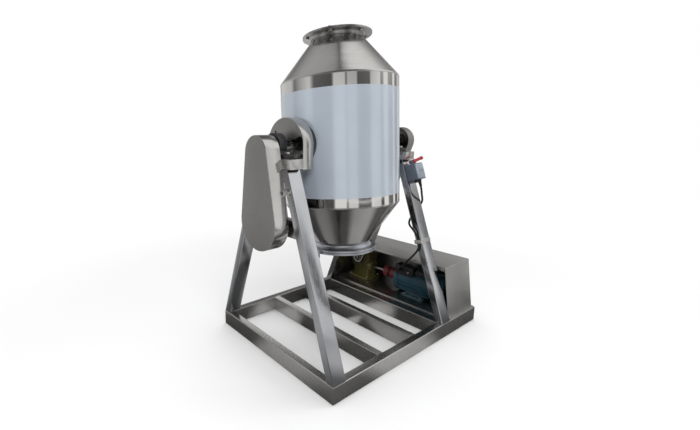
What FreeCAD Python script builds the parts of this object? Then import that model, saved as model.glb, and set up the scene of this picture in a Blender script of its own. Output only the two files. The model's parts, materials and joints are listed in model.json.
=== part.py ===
import FreeCAD, Part
import math
import os

V = FreeCAD.Vector
ORIGIN = V(0, 0, 0)
ALONG_X = V(1, 0, 0)
ALONG_Y = V(0, 1, 0)
ALONG_Z = V(0, 0, 1)

# Base of rectangular tube, lying on the floor
drive_bay = 290.0
base_width = 870.0
rail_height = 85.0
rail_width = 40.0
tube_wall = 3.0
tube_corner = 5.0
cross_bar_1 = 345.0
cross_bar_2 = 620.0

# Two trestles that carry the drum, measured from the base's left end
trestle_pitch = 860.0
leg_width = 80.0
leg_depth = 40.0
leg_top_half_spread = 127.0
seat_half_length = 147.0
seat_height = 45.0
seat_wall = 5.0
seat_top = 1015.0
tie_bar_height = 80.0
tie_bar_depth = 40.0
tie_bar_drop = 20.0
tie_bar_inset = 20.0

# Drum turned about the trunnion axis, which runs along X
drum_radius = 300.0
drum_half_height = 306.0
drum_wall = 3.0
drum_lean = 4.0
knuckle_radius = 16.0
neck_radius = 133.0
neck_start = 472.0
neck_fillet = 12.0
upper_flange_radius = 174.0
upper_flange_thickness = 6.0
top_lid_thickness = 4.0
drum_top = 544.5
lower_flange_radius = 180.0
lower_flange_thickness = 10.0
door_gasket_thickness = 2.0
door_thickness = 10.0
lower_flange_face = 545.0
lid_bolt_radius = 5.0
lid_bolt_circle = 153.0
lid_bolt_count = 6
film_thickness = 0.6
film_top = 250.0
film_bottom = 262.0

# Hinge and clamp of the discharge door
hinge_stand_out = 24.0
hinge_pin_radius = 5.0
hinge_barrel_radius = 10.0
hinge_half = 32.0
hinge_gap = 0.5
hinge_knuckle_half = 11.5
ear_half_width = 18.0
clamp_stand_out = 20.0
clamp_stud_radius = 5.0
clamp_slot_radius = 6.5
knob_radius = 24.0
knob_height = 20.0

# Trunnions, bearings and the fit between them
shaft_radius = 25.0
running_fit = 0.05
boss_radius = 112.0
boss_stand_off = 6.0
trunnion_flange_radius = 100.0
trunnion_flange_thickness = 14.0
trunnion_bolt_circle = 80.0
trunnion_bolt_count = 6
bearing_height = 57.2
bearing_arch_radius = 57.0
bearing_foot_length = 206.0
bearing_foot_width = 60.0
bearing_foot_thickness = 20.0
bearing_body_width = 44.0
bearing_bolt_spacing = 159.0
bearing_bolt_radius = 8.0
insert_radius = 45.0
collar_radius = 34.0
collar_length = 14.0
collar_gap = 1.5

# Cover over the left trunnion flange
hood_radius = 128.0
hood_sheet = 2.0
hood_face = 95.0
hood_back = 158.0
hood_drop = 108.0
hood_plate_rise = 21.0
hood_plate_arc = 265.0
hood_shaft_gap = 3.0

# Left side chain drive and its guard
left_guard_depth = 80.0
guard_sheet = 2.0
guard_tab_height = 870.0
guard_tab_width = 30.0
guard_tab_thickness = 3.0
left_guard_top_radius = 80.0
left_guard_top_drop = 31.2
left_guard_bottom_radius = 132.0
countershaft_y = -12.0
countershaft_height = 720.0
countershaft_radius = 10.0
left_sprocket_plane = 42.0
left_shaft_step_radius = 15.0
left_pitch = 12.7
left_roller = 8.5
left_tooth_width = 7.0
end_teeth = 17
counter_teeth = 54
counter_flange_length = 112.0
counter_flange_width = 60.0
counter_flange_thickness = 10.0
counter_nose_radius = 29.0
counter_nose_length = 20.0
counter_bolt_reach = 42.0
end_hub_radius = 23.0
end_hub_length = 18.0
counter_hub_radius = 22.0
counter_hub_length = 16.0

# Main chain drive and its guard
right_guard_gap = 40.0
right_guard_depth = 60.0
right_guard_radius = 81.0
main_sprocket_plane = 70.0
right_shaft_step_radius = 20.0
right_bracket_front = 80.0
right_bracket_front_width = 16.0
right_bracket_back = 103.0
right_bracket_back_width = 19.0
right_bracket_overlap = 30.0
driven_hub_radius = 42.0
driven_hub_length = 22.0
drive_hub_radius = 26.0
drive_hub_length = 18.0
main_pitch = 19.05
main_roller = 11.9
main_tooth_width = 11.6
driven_teeth = 22
drive_teeth = 13

# Motor, coupling and worm gear on their plate
plate_thickness = 6.0
plate_overlap = 10.0
plate_margin = 50.0
plate_end_gap = 5.0
motor_axis_height = 90.0
motor_stand_off = 87.0
motor_radius = 82.0
motor_fin_height = 7.0
motor_fin_count = 20
motor_margin = 95.0
motor_length = 326.0
cowl_length = 78.0
motor_shaft_radius = 12.0
motor_foot_half_width = 80.0
motor_foot_set_back = 125.0
motor_foot_length = 140.0
motor_foot_thickness = 11.0
motor_bolt_reach = 68.0
motor_bolt_inset = 16.0
terminal_side = 84.0
terminal_width = 70.0
terminal_set_back = 8.0
terminal_length = 126.0
terminal_rise = 44.0
terminal_height = 60.0
capacitor_radius = 27.0
capacitor_gap = 4.0
capacitor_length = 98.0
capacitor_inset = 40.0
coupling_radius = 37.0
coupling_gap = 30.0
coupling_hub_length = 34.0
spider_length = 18.0
worm_drop = 70.0
gearbox_margin = 152.0
gearbox_half_width = 48.0
gearbox_wheel_radius = 72.0
gearbox_worm_radius = 40.0
gearbox_worm_half_length = 80.0
gearbox_foot_half_width = 70.0
gearbox_foot_half_length = 80.0
gearbox_foot_thickness = 14.0
gearbox_bolt_reach = 60.0
gearbox_bolt_spread = 68.0
fixing_radius = 5.0
output_radius = 14.0
output_cap_radius = 42.0

# Sheet cover over the drive
cover_gap = 15.0
cover_sheet = 2.0
cover_height = 287.0
cover_margin = 20.0
cover_slope = 40.0
cover_lip = 20.0
cover_foot = 14.0

# Reversing switch on the right front leg
switch_drop = 122.0
switch_half_width = 40.0
switch_depth = 61.0
switch_tall = 92.0
switch_bracket = 3.0
lever_pivot_x = -25.0
lever_pivot_rise = 12.0
lever_out = 49.0
lever_reach = 105.0
lever_rest = 10.0

# Lead from the switch to the motor
lead_radius = 5.5
gland_length = 16.0
gland_stand_out = 38.0
gland_radius = 9.0
lead_gland_x = 14.0
supply_gland_x = -16.0
supply_bore = 6.0
lead_entry_set_back = 48.0
lead_side_gap = 7.0
lead_back_gap = 18.0
lead_turn_drop = 88.0
lead_step = 24.0
tie_drop = 330.0
tie_width = 22.0
lead_entry_rise = 37.0

# Places worked out from the sizes above
base_length = trestle_pitch + leg_width + drive_bay
base_left = (left_guard_depth - base_length) / 2
base_right = base_left + base_length
half_width = base_width / 2
hinge_reach = lower_flange_radius + hinge_stand_out
clamp_reach = lower_flange_radius + clamp_stand_out
axis_height = seat_top + bearing_height
seat_bottom = seat_top - seat_height
switch_height = seat_bottom - switch_drop
plate_half_width = half_width - plate_margin
motor_front = motor_margin - half_width
motor_back = motor_front + motor_length
motor_foot_start = motor_front + motor_foot_set_back
motor_foot_end = motor_foot_start + motor_foot_length
terminal_end = motor_back - terminal_set_back
terminal_start = terminal_end - terminal_length
capacitor_end = terminal_start - capacitor_gap
capacitor_start = capacitor_end - capacitor_length
lead_entry_y = terminal_end - lead_entry_set_back
coupling_start = motor_back + coupling_gap
gearbox_y = half_width - gearbox_margin
cover_front = cover_margin - half_width
cover_back = half_width - cover_margin
left_guard_top_height = axis_height - left_guard_top_drop
tie_bar_centre = countershaft_height - tie_bar_drop
leg_lean = (half_width - leg_top_half_spread) / (seat_bottom - rail_height)
leg_angle = math.degrees(math.atan(leg_lean))
leg_cut = leg_depth / math.cos(math.radians(leg_angle))
left_trestle = base_left
right_trestle = base_left + trestle_pitch
drum_x = base_left + (trestle_pitch + leg_width) / 2
left_bearing_x = left_trestle + leg_width / 2
right_bearing_x = right_trestle + leg_width / 2
plate_top = rail_height + plate_thickness
drive_left = right_trestle + leg_width
main_plane = drive_left + main_sprocket_plane
motor_x = main_plane + motor_stand_off
motor_z = plate_top + motor_axis_height
wheel_z = motor_z + worm_drop
left_plane = left_trestle - left_sprocket_plane
cover_top = rail_height + cover_height
guard_tab_reach = half_width - leg_lean * (guard_tab_height - rail_height) - 4.0


def block(x0, x1, y0, y1, z0, z1):
    return Part.makeBox(x1 - x0, y1 - y0, z1 - z0, V(x0, y0, z0))


def rod_x(x0, x1, y, z, radius):
    return Part.makeCylinder(radius, x1 - x0, V(x0, y, z), ALONG_X)


def rod_y(y0, y1, x, z, radius):
    return Part.makeCylinder(radius, y1 - y0, V(x, y0, z), ALONG_Y)


def rod_z(z0, z1, x, y, radius):
    return Part.makeCylinder(radius, z1 - z0, V(x, y, z0), ALONG_Z)


def prism_x(points, x0, x1):
    corners = [V(x0, y, z) for y, z in points]
    face = Part.Face(Part.makePolygon(corners + corners[:1]))
    return face.extrude(V(x1 - x0, 0, 0))


def turned(points, x, z):
    corners = [V(x + r, 0, z + h) for r, h in points]
    face = Part.Face(Part.makePolygon(corners + corners[:1]))
    return face.revolve(V(x, 0, z), ALONG_Z, 360)


def hexagon(radius, height, place, direction):
    corners = []
    for i in range(6):
        turn = math.radians(60 * i)
        corners.append(V(radius * math.cos(turn), radius * math.sin(turn), 0))
    head = Part.Face(Part.makePolygon(corners + corners[:1])).extrude(V(0, 0, height))
    head.Placement = FreeCAD.Placement(place, FreeCAD.Rotation(ALONG_Z, direction))
    return head


def bolt(radius, shank, place, direction):
    head = hexagon(radius * 1.9, radius * 1.3, place, direction)
    under = Part.makeCylinder(radius, shank, place, direction.negative())
    return head.fuse(under).removeSplitter()


def soften(shape, radius, direction):
    edges = []
    for edge in shape.Edges:
        if edge.Curve.TypeId != "Part::GeomLine":
            continue
        way = edge.tangentAt(edge.FirstParameter)
        if abs(abs(way.dot(direction)) - 1) < 0.001:
            edges.append(edge)
    return shape.makeFillet(radius, edges)


def loop(x, first, first_radius, second, second_radius):
    # Closed outline round two circles in the plane X = x, with its two outer tangents
    gap_y = second[0] - first[0]
    gap_z = second[1] - first[1]
    heading = math.atan2(gap_z, gap_y)
    spread = math.acos((first_radius - second_radius) / math.hypot(gap_y, gap_z))

    def at(centre, radius, turn):
        return V(x, centre[0] + radius * math.cos(turn), centre[1] + radius * math.sin(turn))

    a = at(first, first_radius, heading + spread)
    b = at(first, first_radius, heading + math.pi)
    c = at(first, first_radius, heading - spread)
    d = at(second, second_radius, heading - spread)
    e = at(second, second_radius, heading)
    f = at(second, second_radius, heading + spread)
    edges = [Part.Arc(a, b, c).toShape(), Part.LineSegment(c, d).toShape(),
             Part.Arc(d, e, f).toShape(), Part.LineSegment(f, a).toShape()]
    return Part.Wire(edges)


def loop_solid(x0, x1, first, first_radius, second, second_radius):
    face = Part.Face(loop(x0, first, first_radius, second, second_radius))
    return face.extrude(V(x1 - x0, 0, 0))


def save(name, solids):
    if not isinstance(solids, list):
        solids = [solids]
    kept = []
    for solid in solids:
        kept.extend(solid.Solids)
    shape = kept[0] if len(kept) == 1 else Part.makeCompound(kept)
    shape.exportStep("parts/" + name + ".step")


def lean(shape):
    # Everything on the drum leans with it about the trunnion axis
    leaning = shape.copy()
    leaning.rotate(V(drum_x, 0, axis_height), ALONG_X, -drum_lean)
    return leaning


def rail(x0, x1, y0, y1, direction):
    outer = soften(block(x0, x1, y0, y1, 0, rail_height), tube_corner, direction)
    if direction == ALONG_X:
        inner = block(x0, x1, y0 + tube_wall, y1 - tube_wall, tube_wall, rail_height - tube_wall)
    else:
        inner = block(x0 + tube_wall, x1 - tube_wall, y0, y1, tube_wall, rail_height - tube_wall)
    return outer.cut(inner)


def mitre(corners):
    # Upright prism on the plan outline that a mitred rail fills
    points = [V(x, y, 0) for x, y in corners]
    face = Part.Face(Part.makePolygon(points + points[:1]))
    return face.extrude(V(0, 0, rail_height))


def base_frame():
    side = half_width - rail_width
    left = base_left + rail_width
    right = base_right - rail_width
    front = mitre([(base_left, -half_width), (base_right, -half_width), (right, -side), (left, -side)])
    rear = mitre([(base_left, half_width), (left, side), (right, side), (base_right, half_width)])
    near = mitre([(base_left, -half_width), (left, -side), (left, side), (base_left, half_width)])
    far = mitre([(base_right, -half_width), (base_right, half_width), (right, side), (right, -side)])
    save("front_rail", rail(base_left, base_right, -half_width, -side, ALONG_X).common(front))
    save("rear_rail", rail(base_left, base_right, side, half_width, ALONG_X).common(rear))
    save("left_rail", rail(base_left, left, -half_width, half_width, ALONG_Y).common(near))
    save("right_rail", rail(right, base_right, -half_width, half_width, ALONG_Y).common(far))
    bars = []
    for start, width in ((cross_bar_1, rail_width), (cross_bar_2, rail_width), (trestle_pitch, leg_width)):
        x0 = base_left + start
        bars.append(rail(x0, x0 + width, -side, side, ALONG_Y))
    save("cross_bars", bars)


def leg_outline(side, inset, reach):
    # Corners of a leg in the YZ plane, taken in from its faces and run past its ends
    low = rail_height - reach
    high = seat_bottom + reach
    slack = inset / math.cos(math.radians(leg_angle))
    points = []
    for height, depth in ((low, slack), (low, leg_cut - slack), (high, leg_cut - slack), (high, slack)):
        y = half_width - leg_lean * (height - rail_height) - depth
        points.append((side * y, height))
    return points


def leg(x0, side):
    outer = prism_x(leg_outline(side, 0, 0), x0, x0 + leg_width)
    slope = V(0, -side * math.sin(math.radians(leg_angle)), math.cos(math.radians(leg_angle)))
    outer = soften(outer, tube_corner, slope)
    inner = prism_x(leg_outline(side, tube_wall, 20), x0 + tube_wall, x0 + leg_width - tube_wall)
    return outer.cut(inner)


def seat(x0):
    outer = block(x0, x0 + leg_width, -seat_half_length, seat_half_length, seat_bottom, seat_top)
    outer = soften(outer, tube_corner, ALONG_Y)
    inner = block(x0 + seat_wall, x0 + leg_width - seat_wall, seat_wall - seat_half_length,
                  seat_half_length - seat_wall, seat_bottom, seat_top - seat_wall)
    seat_shell = outer.cut(inner)
    for side in (-1, 1):
        place = (x0 + leg_width / 2, side * bearing_bolt_spacing / 2)
        seat_shell = seat_shell.cut(rod_z(seat_top - seat_wall, seat_top, *place, bearing_bolt_radius))
    return seat_shell


def leg_inner(height):
    return half_width - leg_lean * (height - rail_height) - leg_cut


def tie_bar():
    low = tie_bar_centre - tie_bar_height / 2
    high = tie_bar_centre + tie_bar_height / 2
    near = left_trestle + tie_bar_inset
    shape = prism_x([(-leg_inner(low), low), (leg_inner(low), low), (leg_inner(high), high),
                     (-leg_inner(high), high)], near, near + tie_bar_depth)
    reach = leg_inner(low)
    inner = block(near + tube_wall, near + tie_bar_depth - tube_wall,
                  -reach, reach, low + tube_wall, high - tube_wall)
    return shape.cut(inner)


def trestles():
    save("left_front_leg", leg(left_trestle, -1))
    save("left_rear_leg", leg(left_trestle, 1))
    save("right_front_leg", leg(right_trestle, -1))
    save("right_rear_leg", leg(right_trestle, 1))
    save("bearing_seats", [seat(left_trestle), seat(right_trestle)])
    save("tie_bar", tie_bar())


def bearing_housing(x):
    foot = block(x - bearing_foot_width / 2, x + bearing_foot_width / 2, -bearing_foot_length / 2,
                 bearing_foot_length / 2, seat_top, seat_top + bearing_foot_thickness)
    foot = soften(foot, 12.0, ALONG_Z)
    half = bearing_body_width / 2
    arch = rod_x(x - half, x + half, 0, axis_height, bearing_arch_radius)
    shoulder = seat_top + bearing_foot_thickness
    flank = prism_x([(-60, seat_top + 4), (60, seat_top + 4), (60, shoulder + 4), (48, axis_height - 14),
                     (-48, axis_height - 14), (-60, shoulder + 4)], x - half, x + half)
    body = foot.fuse([arch, flank]).removeSplitter()
    body = body.cut(rod_x(x - half - 10, x + half + 10, 0, axis_height, insert_radius))
    for side in (-1, 1):
        hole = rod_z(seat_top, shoulder, x, side * bearing_bolt_spacing / 2, bearing_bolt_radius + 1)
        body = body.cut(hole)
    nipple = rod_z(axis_height + bearing_arch_radius - 2, axis_height + bearing_arch_radius + 10, x, 0, 4)
    return body.fuse(nipple).removeSplitter()


def bearings():
    save("bearing_housings", [bearing_housing(left_bearing_x), bearing_housing(right_bearing_x)])
    inserts = []
    collars = []
    half = bearing_body_width / 2
    for x, outward in ((left_bearing_x, -1), (right_bearing_x, 1)):
        ring = rod_x(x - half, x + half, 0, axis_height, insert_radius)
        ring = ring.cut(rod_x(x - half, x + half, 0, axis_height, shaft_radius + running_fit))
        inserts.append(ring)
        start = x - outward * (half + collar_gap)
        end = start - outward * collar_length
        collar = rod_x(min(start, end), max(start, end), 0, axis_height, collar_radius)
        collar = collar.cut(rod_x(min(start, end), max(start, end), 0, axis_height, shaft_radius))
        collars.append(collar)
    save("bearing_inserts", inserts)
    save("lock_collars", collars)


def trunnion_hood():
    face = left_trestle + hood_face
    back = left_trestle + hood_back

    def arch(radius, x0, x1, bottom):
        low = axis_height - bottom
        shape = rod_x(x0, x1, 0, axis_height, radius).fuse(block(x0, x1, -radius, radius, low, axis_height))
        return shape.common(block(x0, x1, -radius, radius, low, axis_height + radius))

    outer = arch(hood_radius, face, back, hood_drop)
    inner = arch(hood_radius - hood_sheet, face, back, hood_drop)
    rim = outer.cut(inner)
    plate = rod_x(face, face + hood_sheet, 0, axis_height, hood_radius)
    arc_centre = axis_height + hood_plate_rise + hood_plate_arc
    plate = plate.common(rod_x(face, face + hood_sheet, 0, arc_centre, hood_plate_arc))
    plate = plate.cut(rod_x(face, face + hood_sheet, 0, axis_height, shaft_radius + hood_shaft_gap))
    shape = rim.fuse(plate)
    for side in (-1, 1):
        y0 = side * (hood_radius - hood_sheet)
        y1 = side * hood_radius
        tab = block(left_trestle + leg_width, face, min(y0, y1), max(y0, y1), seat_bottom + 6, seat_top - 8)
        foot_y = side * (hood_radius - 22)
        foot = block(left_trestle + leg_width, left_trestle + leg_width + hood_sheet,
                     min(foot_y, y1), max(foot_y, y1), seat_bottom + 6, seat_top - 8)
        shape = shape.fuse([tab, foot])
    return shape.removeSplitter()


def sprocket(x, width, teeth, pitch, roller, y, z, bore, hub_radius, hub_length, phase=0.0):
    ring = pitch / (2 * math.sin(math.pi / teeth))
    root = ring - roller / 2
    tip = ring + 0.32 * pitch
    corners = []
    for i in range(teeth):
        for share, radius in ((-0.30, root), (-0.09, tip), (0.09, tip), (0.30, root)):
            turn = 2 * math.pi * (i + share + phase) / teeth
            corners.append(V(x - width / 2, y + radius * math.cos(turn), z + radius * math.sin(turn)))
    plate = Part.Face(Part.makePolygon(corners + corners[:1])).extrude(V(width, 0, 0))
    end = x + hub_length
    hub = rod_x(min(x, end), max(x, end), y, z, hub_radius)
    shape = plate.fuse(hub)
    return shape.cut(rod_x(x - 100, x + 100, y, z, bore)).removeSplitter()


def chain(x, width, pitch, roller, first, first_teeth, second, second_teeth):
    # Side plates run past the teeth on both sides, and rollers tie them on the straight runs
    ring_1 = pitch / (2 * math.sin(math.pi / first_teeth))
    ring_2 = pitch / (2 * math.sin(math.pi / second_teeth))
    half = 0.41 * pitch
    sheet = 0.12 * pitch
    solids = []
    inner = x + width / 2 + 0.3
    for x0 in (inner, 2 * x - inner - sheet):
        outer = loop_solid(x0, x0 + sheet, first, ring_1 + half, second, ring_2 + half)
        hollow = loop_solid(x0, x0 + sheet, first, ring_1 - half, second, ring_2 - half)
        solids.append(outer.cut(hollow))
    gap_y = second[0] - first[0]
    gap_z = second[1] - first[1]
    span = math.hypot(gap_y, gap_z)
    heading = math.atan2(gap_z, gap_y)
    spread = math.acos((ring_1 - ring_2) / span)
    run = math.sqrt(span ** 2 - (ring_1 - ring_2) ** 2)
    for side in (-1, 1):
        turn = heading + side * spread
        start = (first[0] + ring_1 * math.cos(turn), first[1] + ring_1 * math.sin(turn))
        end = (second[0] + ring_2 * math.cos(turn), second[1] + ring_2 * math.sin(turn))
        count = int((run - 8 * pitch) / (2 * pitch))
        for i in range(count + 1):
            share = (4 + 2 * i) * pitch / run
            y = start[0] + (end[0] - start[0]) * share
            z = start[1] + (end[1] - start[1]) * share
            solids.append(rod_x(2 * x - inner, inner, y, z, roller / 2))
    whole = solids[0].fuse(solids[1:])
    return whole.removeSplitter()


def left_chain_guard():
    top = (0.0, left_guard_top_height)
    bottom = (countershaft_y, countershaft_height)
    face = left_trestle - left_guard_depth
    outer = loop_solid(face, left_trestle, top, left_guard_top_radius, bottom, left_guard_bottom_radius)
    inner = loop_solid(face + guard_sheet, left_trestle, top, left_guard_top_radius - guard_sheet,
                       bottom, left_guard_bottom_radius - guard_sheet)
    low = guard_tab_height - guard_tab_width / 2
    tabs = block(left_trestle - guard_tab_thickness, left_trestle, -guard_tab_reach, guard_tab_reach,
                 low, low + guard_tab_width)
    return outer.fuse(tabs).cut(inner).removeSplitter()


def countershaft_bearing():
    # Two bolt flange bearing on the tie bar, with its housing towards the guard
    x1 = left_trestle + tie_bar_inset
    x0 = x1 - counter_flange_thickness
    flange = block(x0, x1, countershaft_y - counter_flange_length / 2,
                   countershaft_y + counter_flange_length / 2, countershaft_height - counter_flange_width / 2,
                   countershaft_height + counter_flange_width / 2)
    low = tie_bar_centre - tie_bar_height / 2
    high = tie_bar_centre + tie_bar_height / 2
    flange = flange.common(block(x0, x1, -half_width, half_width, low, high + tie_bar_height / 2))
    flange = soften(flange, 20.0, ALONG_X)
    nose = rod_x(x0 - counter_nose_length, x0, countershaft_y, countershaft_height, counter_nose_radius)
    shape = flange.fuse(nose).removeSplitter()
    bore = rod_x(x1 - 40, x1 + 1, countershaft_y, countershaft_height, countershaft_radius + running_fit)
    return shape.cut(bore)


def left_drive():
    top = (0.0, axis_height)
    bottom = (countershaft_y, countershaft_height)
    save("left_chain_guard", left_chain_guard())
    save("countershaft_bearing", countershaft_bearing())
    save("end_sprocket", sprocket(left_plane, left_tooth_width, end_teeth, left_pitch, left_roller,
                                  *top, left_shaft_step_radius, end_hub_radius, -end_hub_length))
    save("counter_sprocket", sprocket(left_plane, left_tooth_width, counter_teeth, left_pitch, left_roller,
                                      *bottom, countershaft_radius, counter_hub_radius, -counter_hub_length))
    save("countershaft", rod_x(left_plane - 20, left_trestle + tie_bar_inset - 2, *bottom, countershaft_radius))
    save("left_chain", chain(left_plane, left_tooth_width, left_pitch, left_roller,
                             top, end_teeth, bottom, counter_teeth))


def right_chain_guard():
    top = (0.0, axis_height)
    bottom = (gearbox_y, wheel_z)
    left = right_trestle + leg_width + right_guard_gap
    right = left + right_guard_depth
    outer = loop_solid(left, right, top, right_guard_radius, bottom, right_guard_radius - 12)
    inner = loop_solid(left, right - guard_sheet, top, right_guard_radius - guard_sheet,
                       bottom, right_guard_radius - 12 - guard_sheet)
    solid_inner = loop_solid(left - 60, right, top, right_guard_radius - guard_sheet,
                             bottom, right_guard_radius - 12 - guard_sheet)
    shape = outer.cut(inner)
    side_z0 = seat_bottom + 12
    side_z1 = seat_top - 8
    reach = left + right_bracket_overlap
    front = block(right_trestle + leg_width, reach, -right_bracket_front,
                  right_bracket_front_width - right_bracket_front, side_z0, side_z1)
    back = block(right_trestle + leg_width, reach, right_bracket_back,
                 right_bracket_back + right_bracket_back_width, side_z0, side_z1)
    shape = shape.fuse([front.cut(solid_inner), back.cut(solid_inner)])
    below = block(left - right_guard_gap, right + 10, -half_width, half_width, 0, cover_top + 1)
    return shape.cut(below).removeSplitter()


def main_drive():
    top = (0.0, axis_height)
    bottom = (gearbox_y, wheel_z)
    save("right_chain_guard", right_chain_guard())
    save("driven_sprocket", sprocket(main_plane, main_tooth_width, driven_teeth, main_pitch, main_roller,
                                     *top, right_shaft_step_radius, driven_hub_radius, -driven_hub_length))
    save("drive_sprocket", sprocket(main_plane, main_tooth_width, drive_teeth, main_pitch, main_roller,
                                    *bottom, output_radius, drive_hub_radius, drive_hub_length))
    save("drive_chain", chain(main_plane, main_tooth_width, main_pitch, main_roller,
                              top, driven_teeth, bottom, drive_teeth))


def drum_shell():
    shell = turned([(drum_radius - drum_wall, -drum_half_height), (drum_radius, -drum_half_height),
                    (drum_radius, drum_half_height), (drum_radius - drum_wall, drum_half_height)],
                   drum_x, axis_height)
    return shell


def drum_film():
    film = turned([(drum_radius, -film_bottom), (drum_radius + film_thickness, -film_bottom),
                   (drum_radius + film_thickness, film_top), (drum_radius, film_top)], drum_x, axis_height)
    reach = drum_radius + 20
    return film.cut(rod_x(drum_x - reach, drum_x + reach, 0, axis_height, boss_radius + 1.5))


def cone_wire(offset):
    # Knuckle at the drum's edge, then a straight cone up to the neck
    outer = drum_radius - offset
    inner = neck_radius - offset
    rise = neck_start - drum_half_height
    slope = math.atan2(rise, drum_radius - neck_radius)
    radius = knuckle_radius - offset
    centre = V(outer - radius, 0, drum_half_height)
    start = V(outer, 0, drum_half_height)
    middle_turn = (math.pi / 2 - slope) / 2
    middle = centre + V(radius * math.cos(middle_turn), 0, radius * math.sin(middle_turn))
    end_turn = math.pi / 2 - slope
    end = centre + V(radius * math.cos(end_turn), 0, radius * math.sin(end_turn))
    return start, middle, end, V(inner, 0, neck_start)


def cone(sign):
    start, middle, end, top = cone_wire(0.0)
    inner_start, inner_middle, inner_end, inner_top = cone_wire(drum_wall)
    edges = [Part.Arc(start, middle, end).toShape(), Part.LineSegment(end, top).toShape(),
             Part.LineSegment(top, inner_top).toShape(), Part.LineSegment(inner_top, inner_end).toShape(),
             Part.Arc(inner_end, inner_middle, inner_start).toShape(),
             Part.LineSegment(inner_start, start).toShape()]
    shape = Part.Face(Part.Wire(edges)).revolve(ORIGIN, ALONG_Z, 360)
    if sign < 0:
        shape = shape.mirror(ORIGIN, ALONG_Z)
    shape.translate(V(drum_x, 0, axis_height))
    return shape


def neck(flange_radius, flange_inner, flange_outer, sign):
    # Short neck with its bolting flange, turned from one outline
    bore = neck_radius - drum_wall
    fillet = neck_fillet
    a = V(bore, 0, neck_start)
    b = V(neck_radius, 0, neck_start)
    c = V(neck_radius, 0, flange_inner - fillet)
    turn = math.radians(45)
    centre = V(neck_radius + fillet, 0, flange_inner - fillet)
    middle = centre + V(-fillet * math.cos(turn), 0, fillet * math.sin(turn))
    d = V(neck_radius + fillet, 0, flange_inner)
    e = V(flange_radius, 0, flange_inner)
    f = V(flange_radius, 0, flange_outer)
    g = V(bore, 0, flange_outer)
    edges = [Part.LineSegment(a, b).toShape(), Part.LineSegment(b, c).toShape(),
             Part.Arc(c, middle, d).toShape(), Part.LineSegment(d, e).toShape(),
             Part.LineSegment(e, f).toShape(), Part.LineSegment(f, g).toShape(),
             Part.LineSegment(g, a).toShape()]
    shape = Part.Face(Part.Wire(edges)).revolve(ORIGIN, ALONG_Z, 360)
    if sign < 0:
        shape = shape.mirror(ORIGIN, ALONG_Z)
    shape.translate(V(drum_x, 0, axis_height))
    return shape


def bolt_places():
    places = []
    for i in range(lid_bolt_count):
        turn = math.radians(30 + 360 / lid_bolt_count * i)
        places.append((drum_x + lid_bolt_circle * math.cos(turn), lid_bolt_circle * math.sin(turn)))
    return places


def upper_end():
    flange_outer = drum_top - top_lid_thickness
    flange_inner = flange_outer - upper_flange_thickness
    flange = neck(upper_flange_radius, flange_inner, flange_outer, 1)
    lid = rod_z(axis_height + flange_outer, axis_height + drum_top, drum_x, 0, upper_flange_radius)
    bolts = []
    for x, y in bolt_places():
        hole = rod_z(axis_height + flange_inner - 1, axis_height + drum_top + 1, x, y, lid_bolt_radius + 0.5)
        flange = flange.cut(hole)
        lid = lid.cut(hole)
        head = bolt(lid_bolt_radius, top_lid_thickness + upper_flange_thickness + 8,
                    V(x, y, axis_height + drum_top), ALONG_Z)
        nut = hexagon(lid_bolt_radius * 1.9, 8.0, V(x, y, axis_height + flange_inner - 8), ALONG_Z)
        bolts.append(head.fuse(nut).removeSplitter())
    save("upper_flange", lean(flange))
    save("top_lid", lean(lid))
    save("lid_bolts", [lean(item) for item in bolts])


def lower_levels():
    # Heights of the flange face, flange back, gasket back and door back, measured up from the axis
    face = -lower_flange_face
    back = face - lower_flange_thickness
    gasket = back - door_gasket_thickness
    return face, back, gasket, gasket - door_thickness


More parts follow.
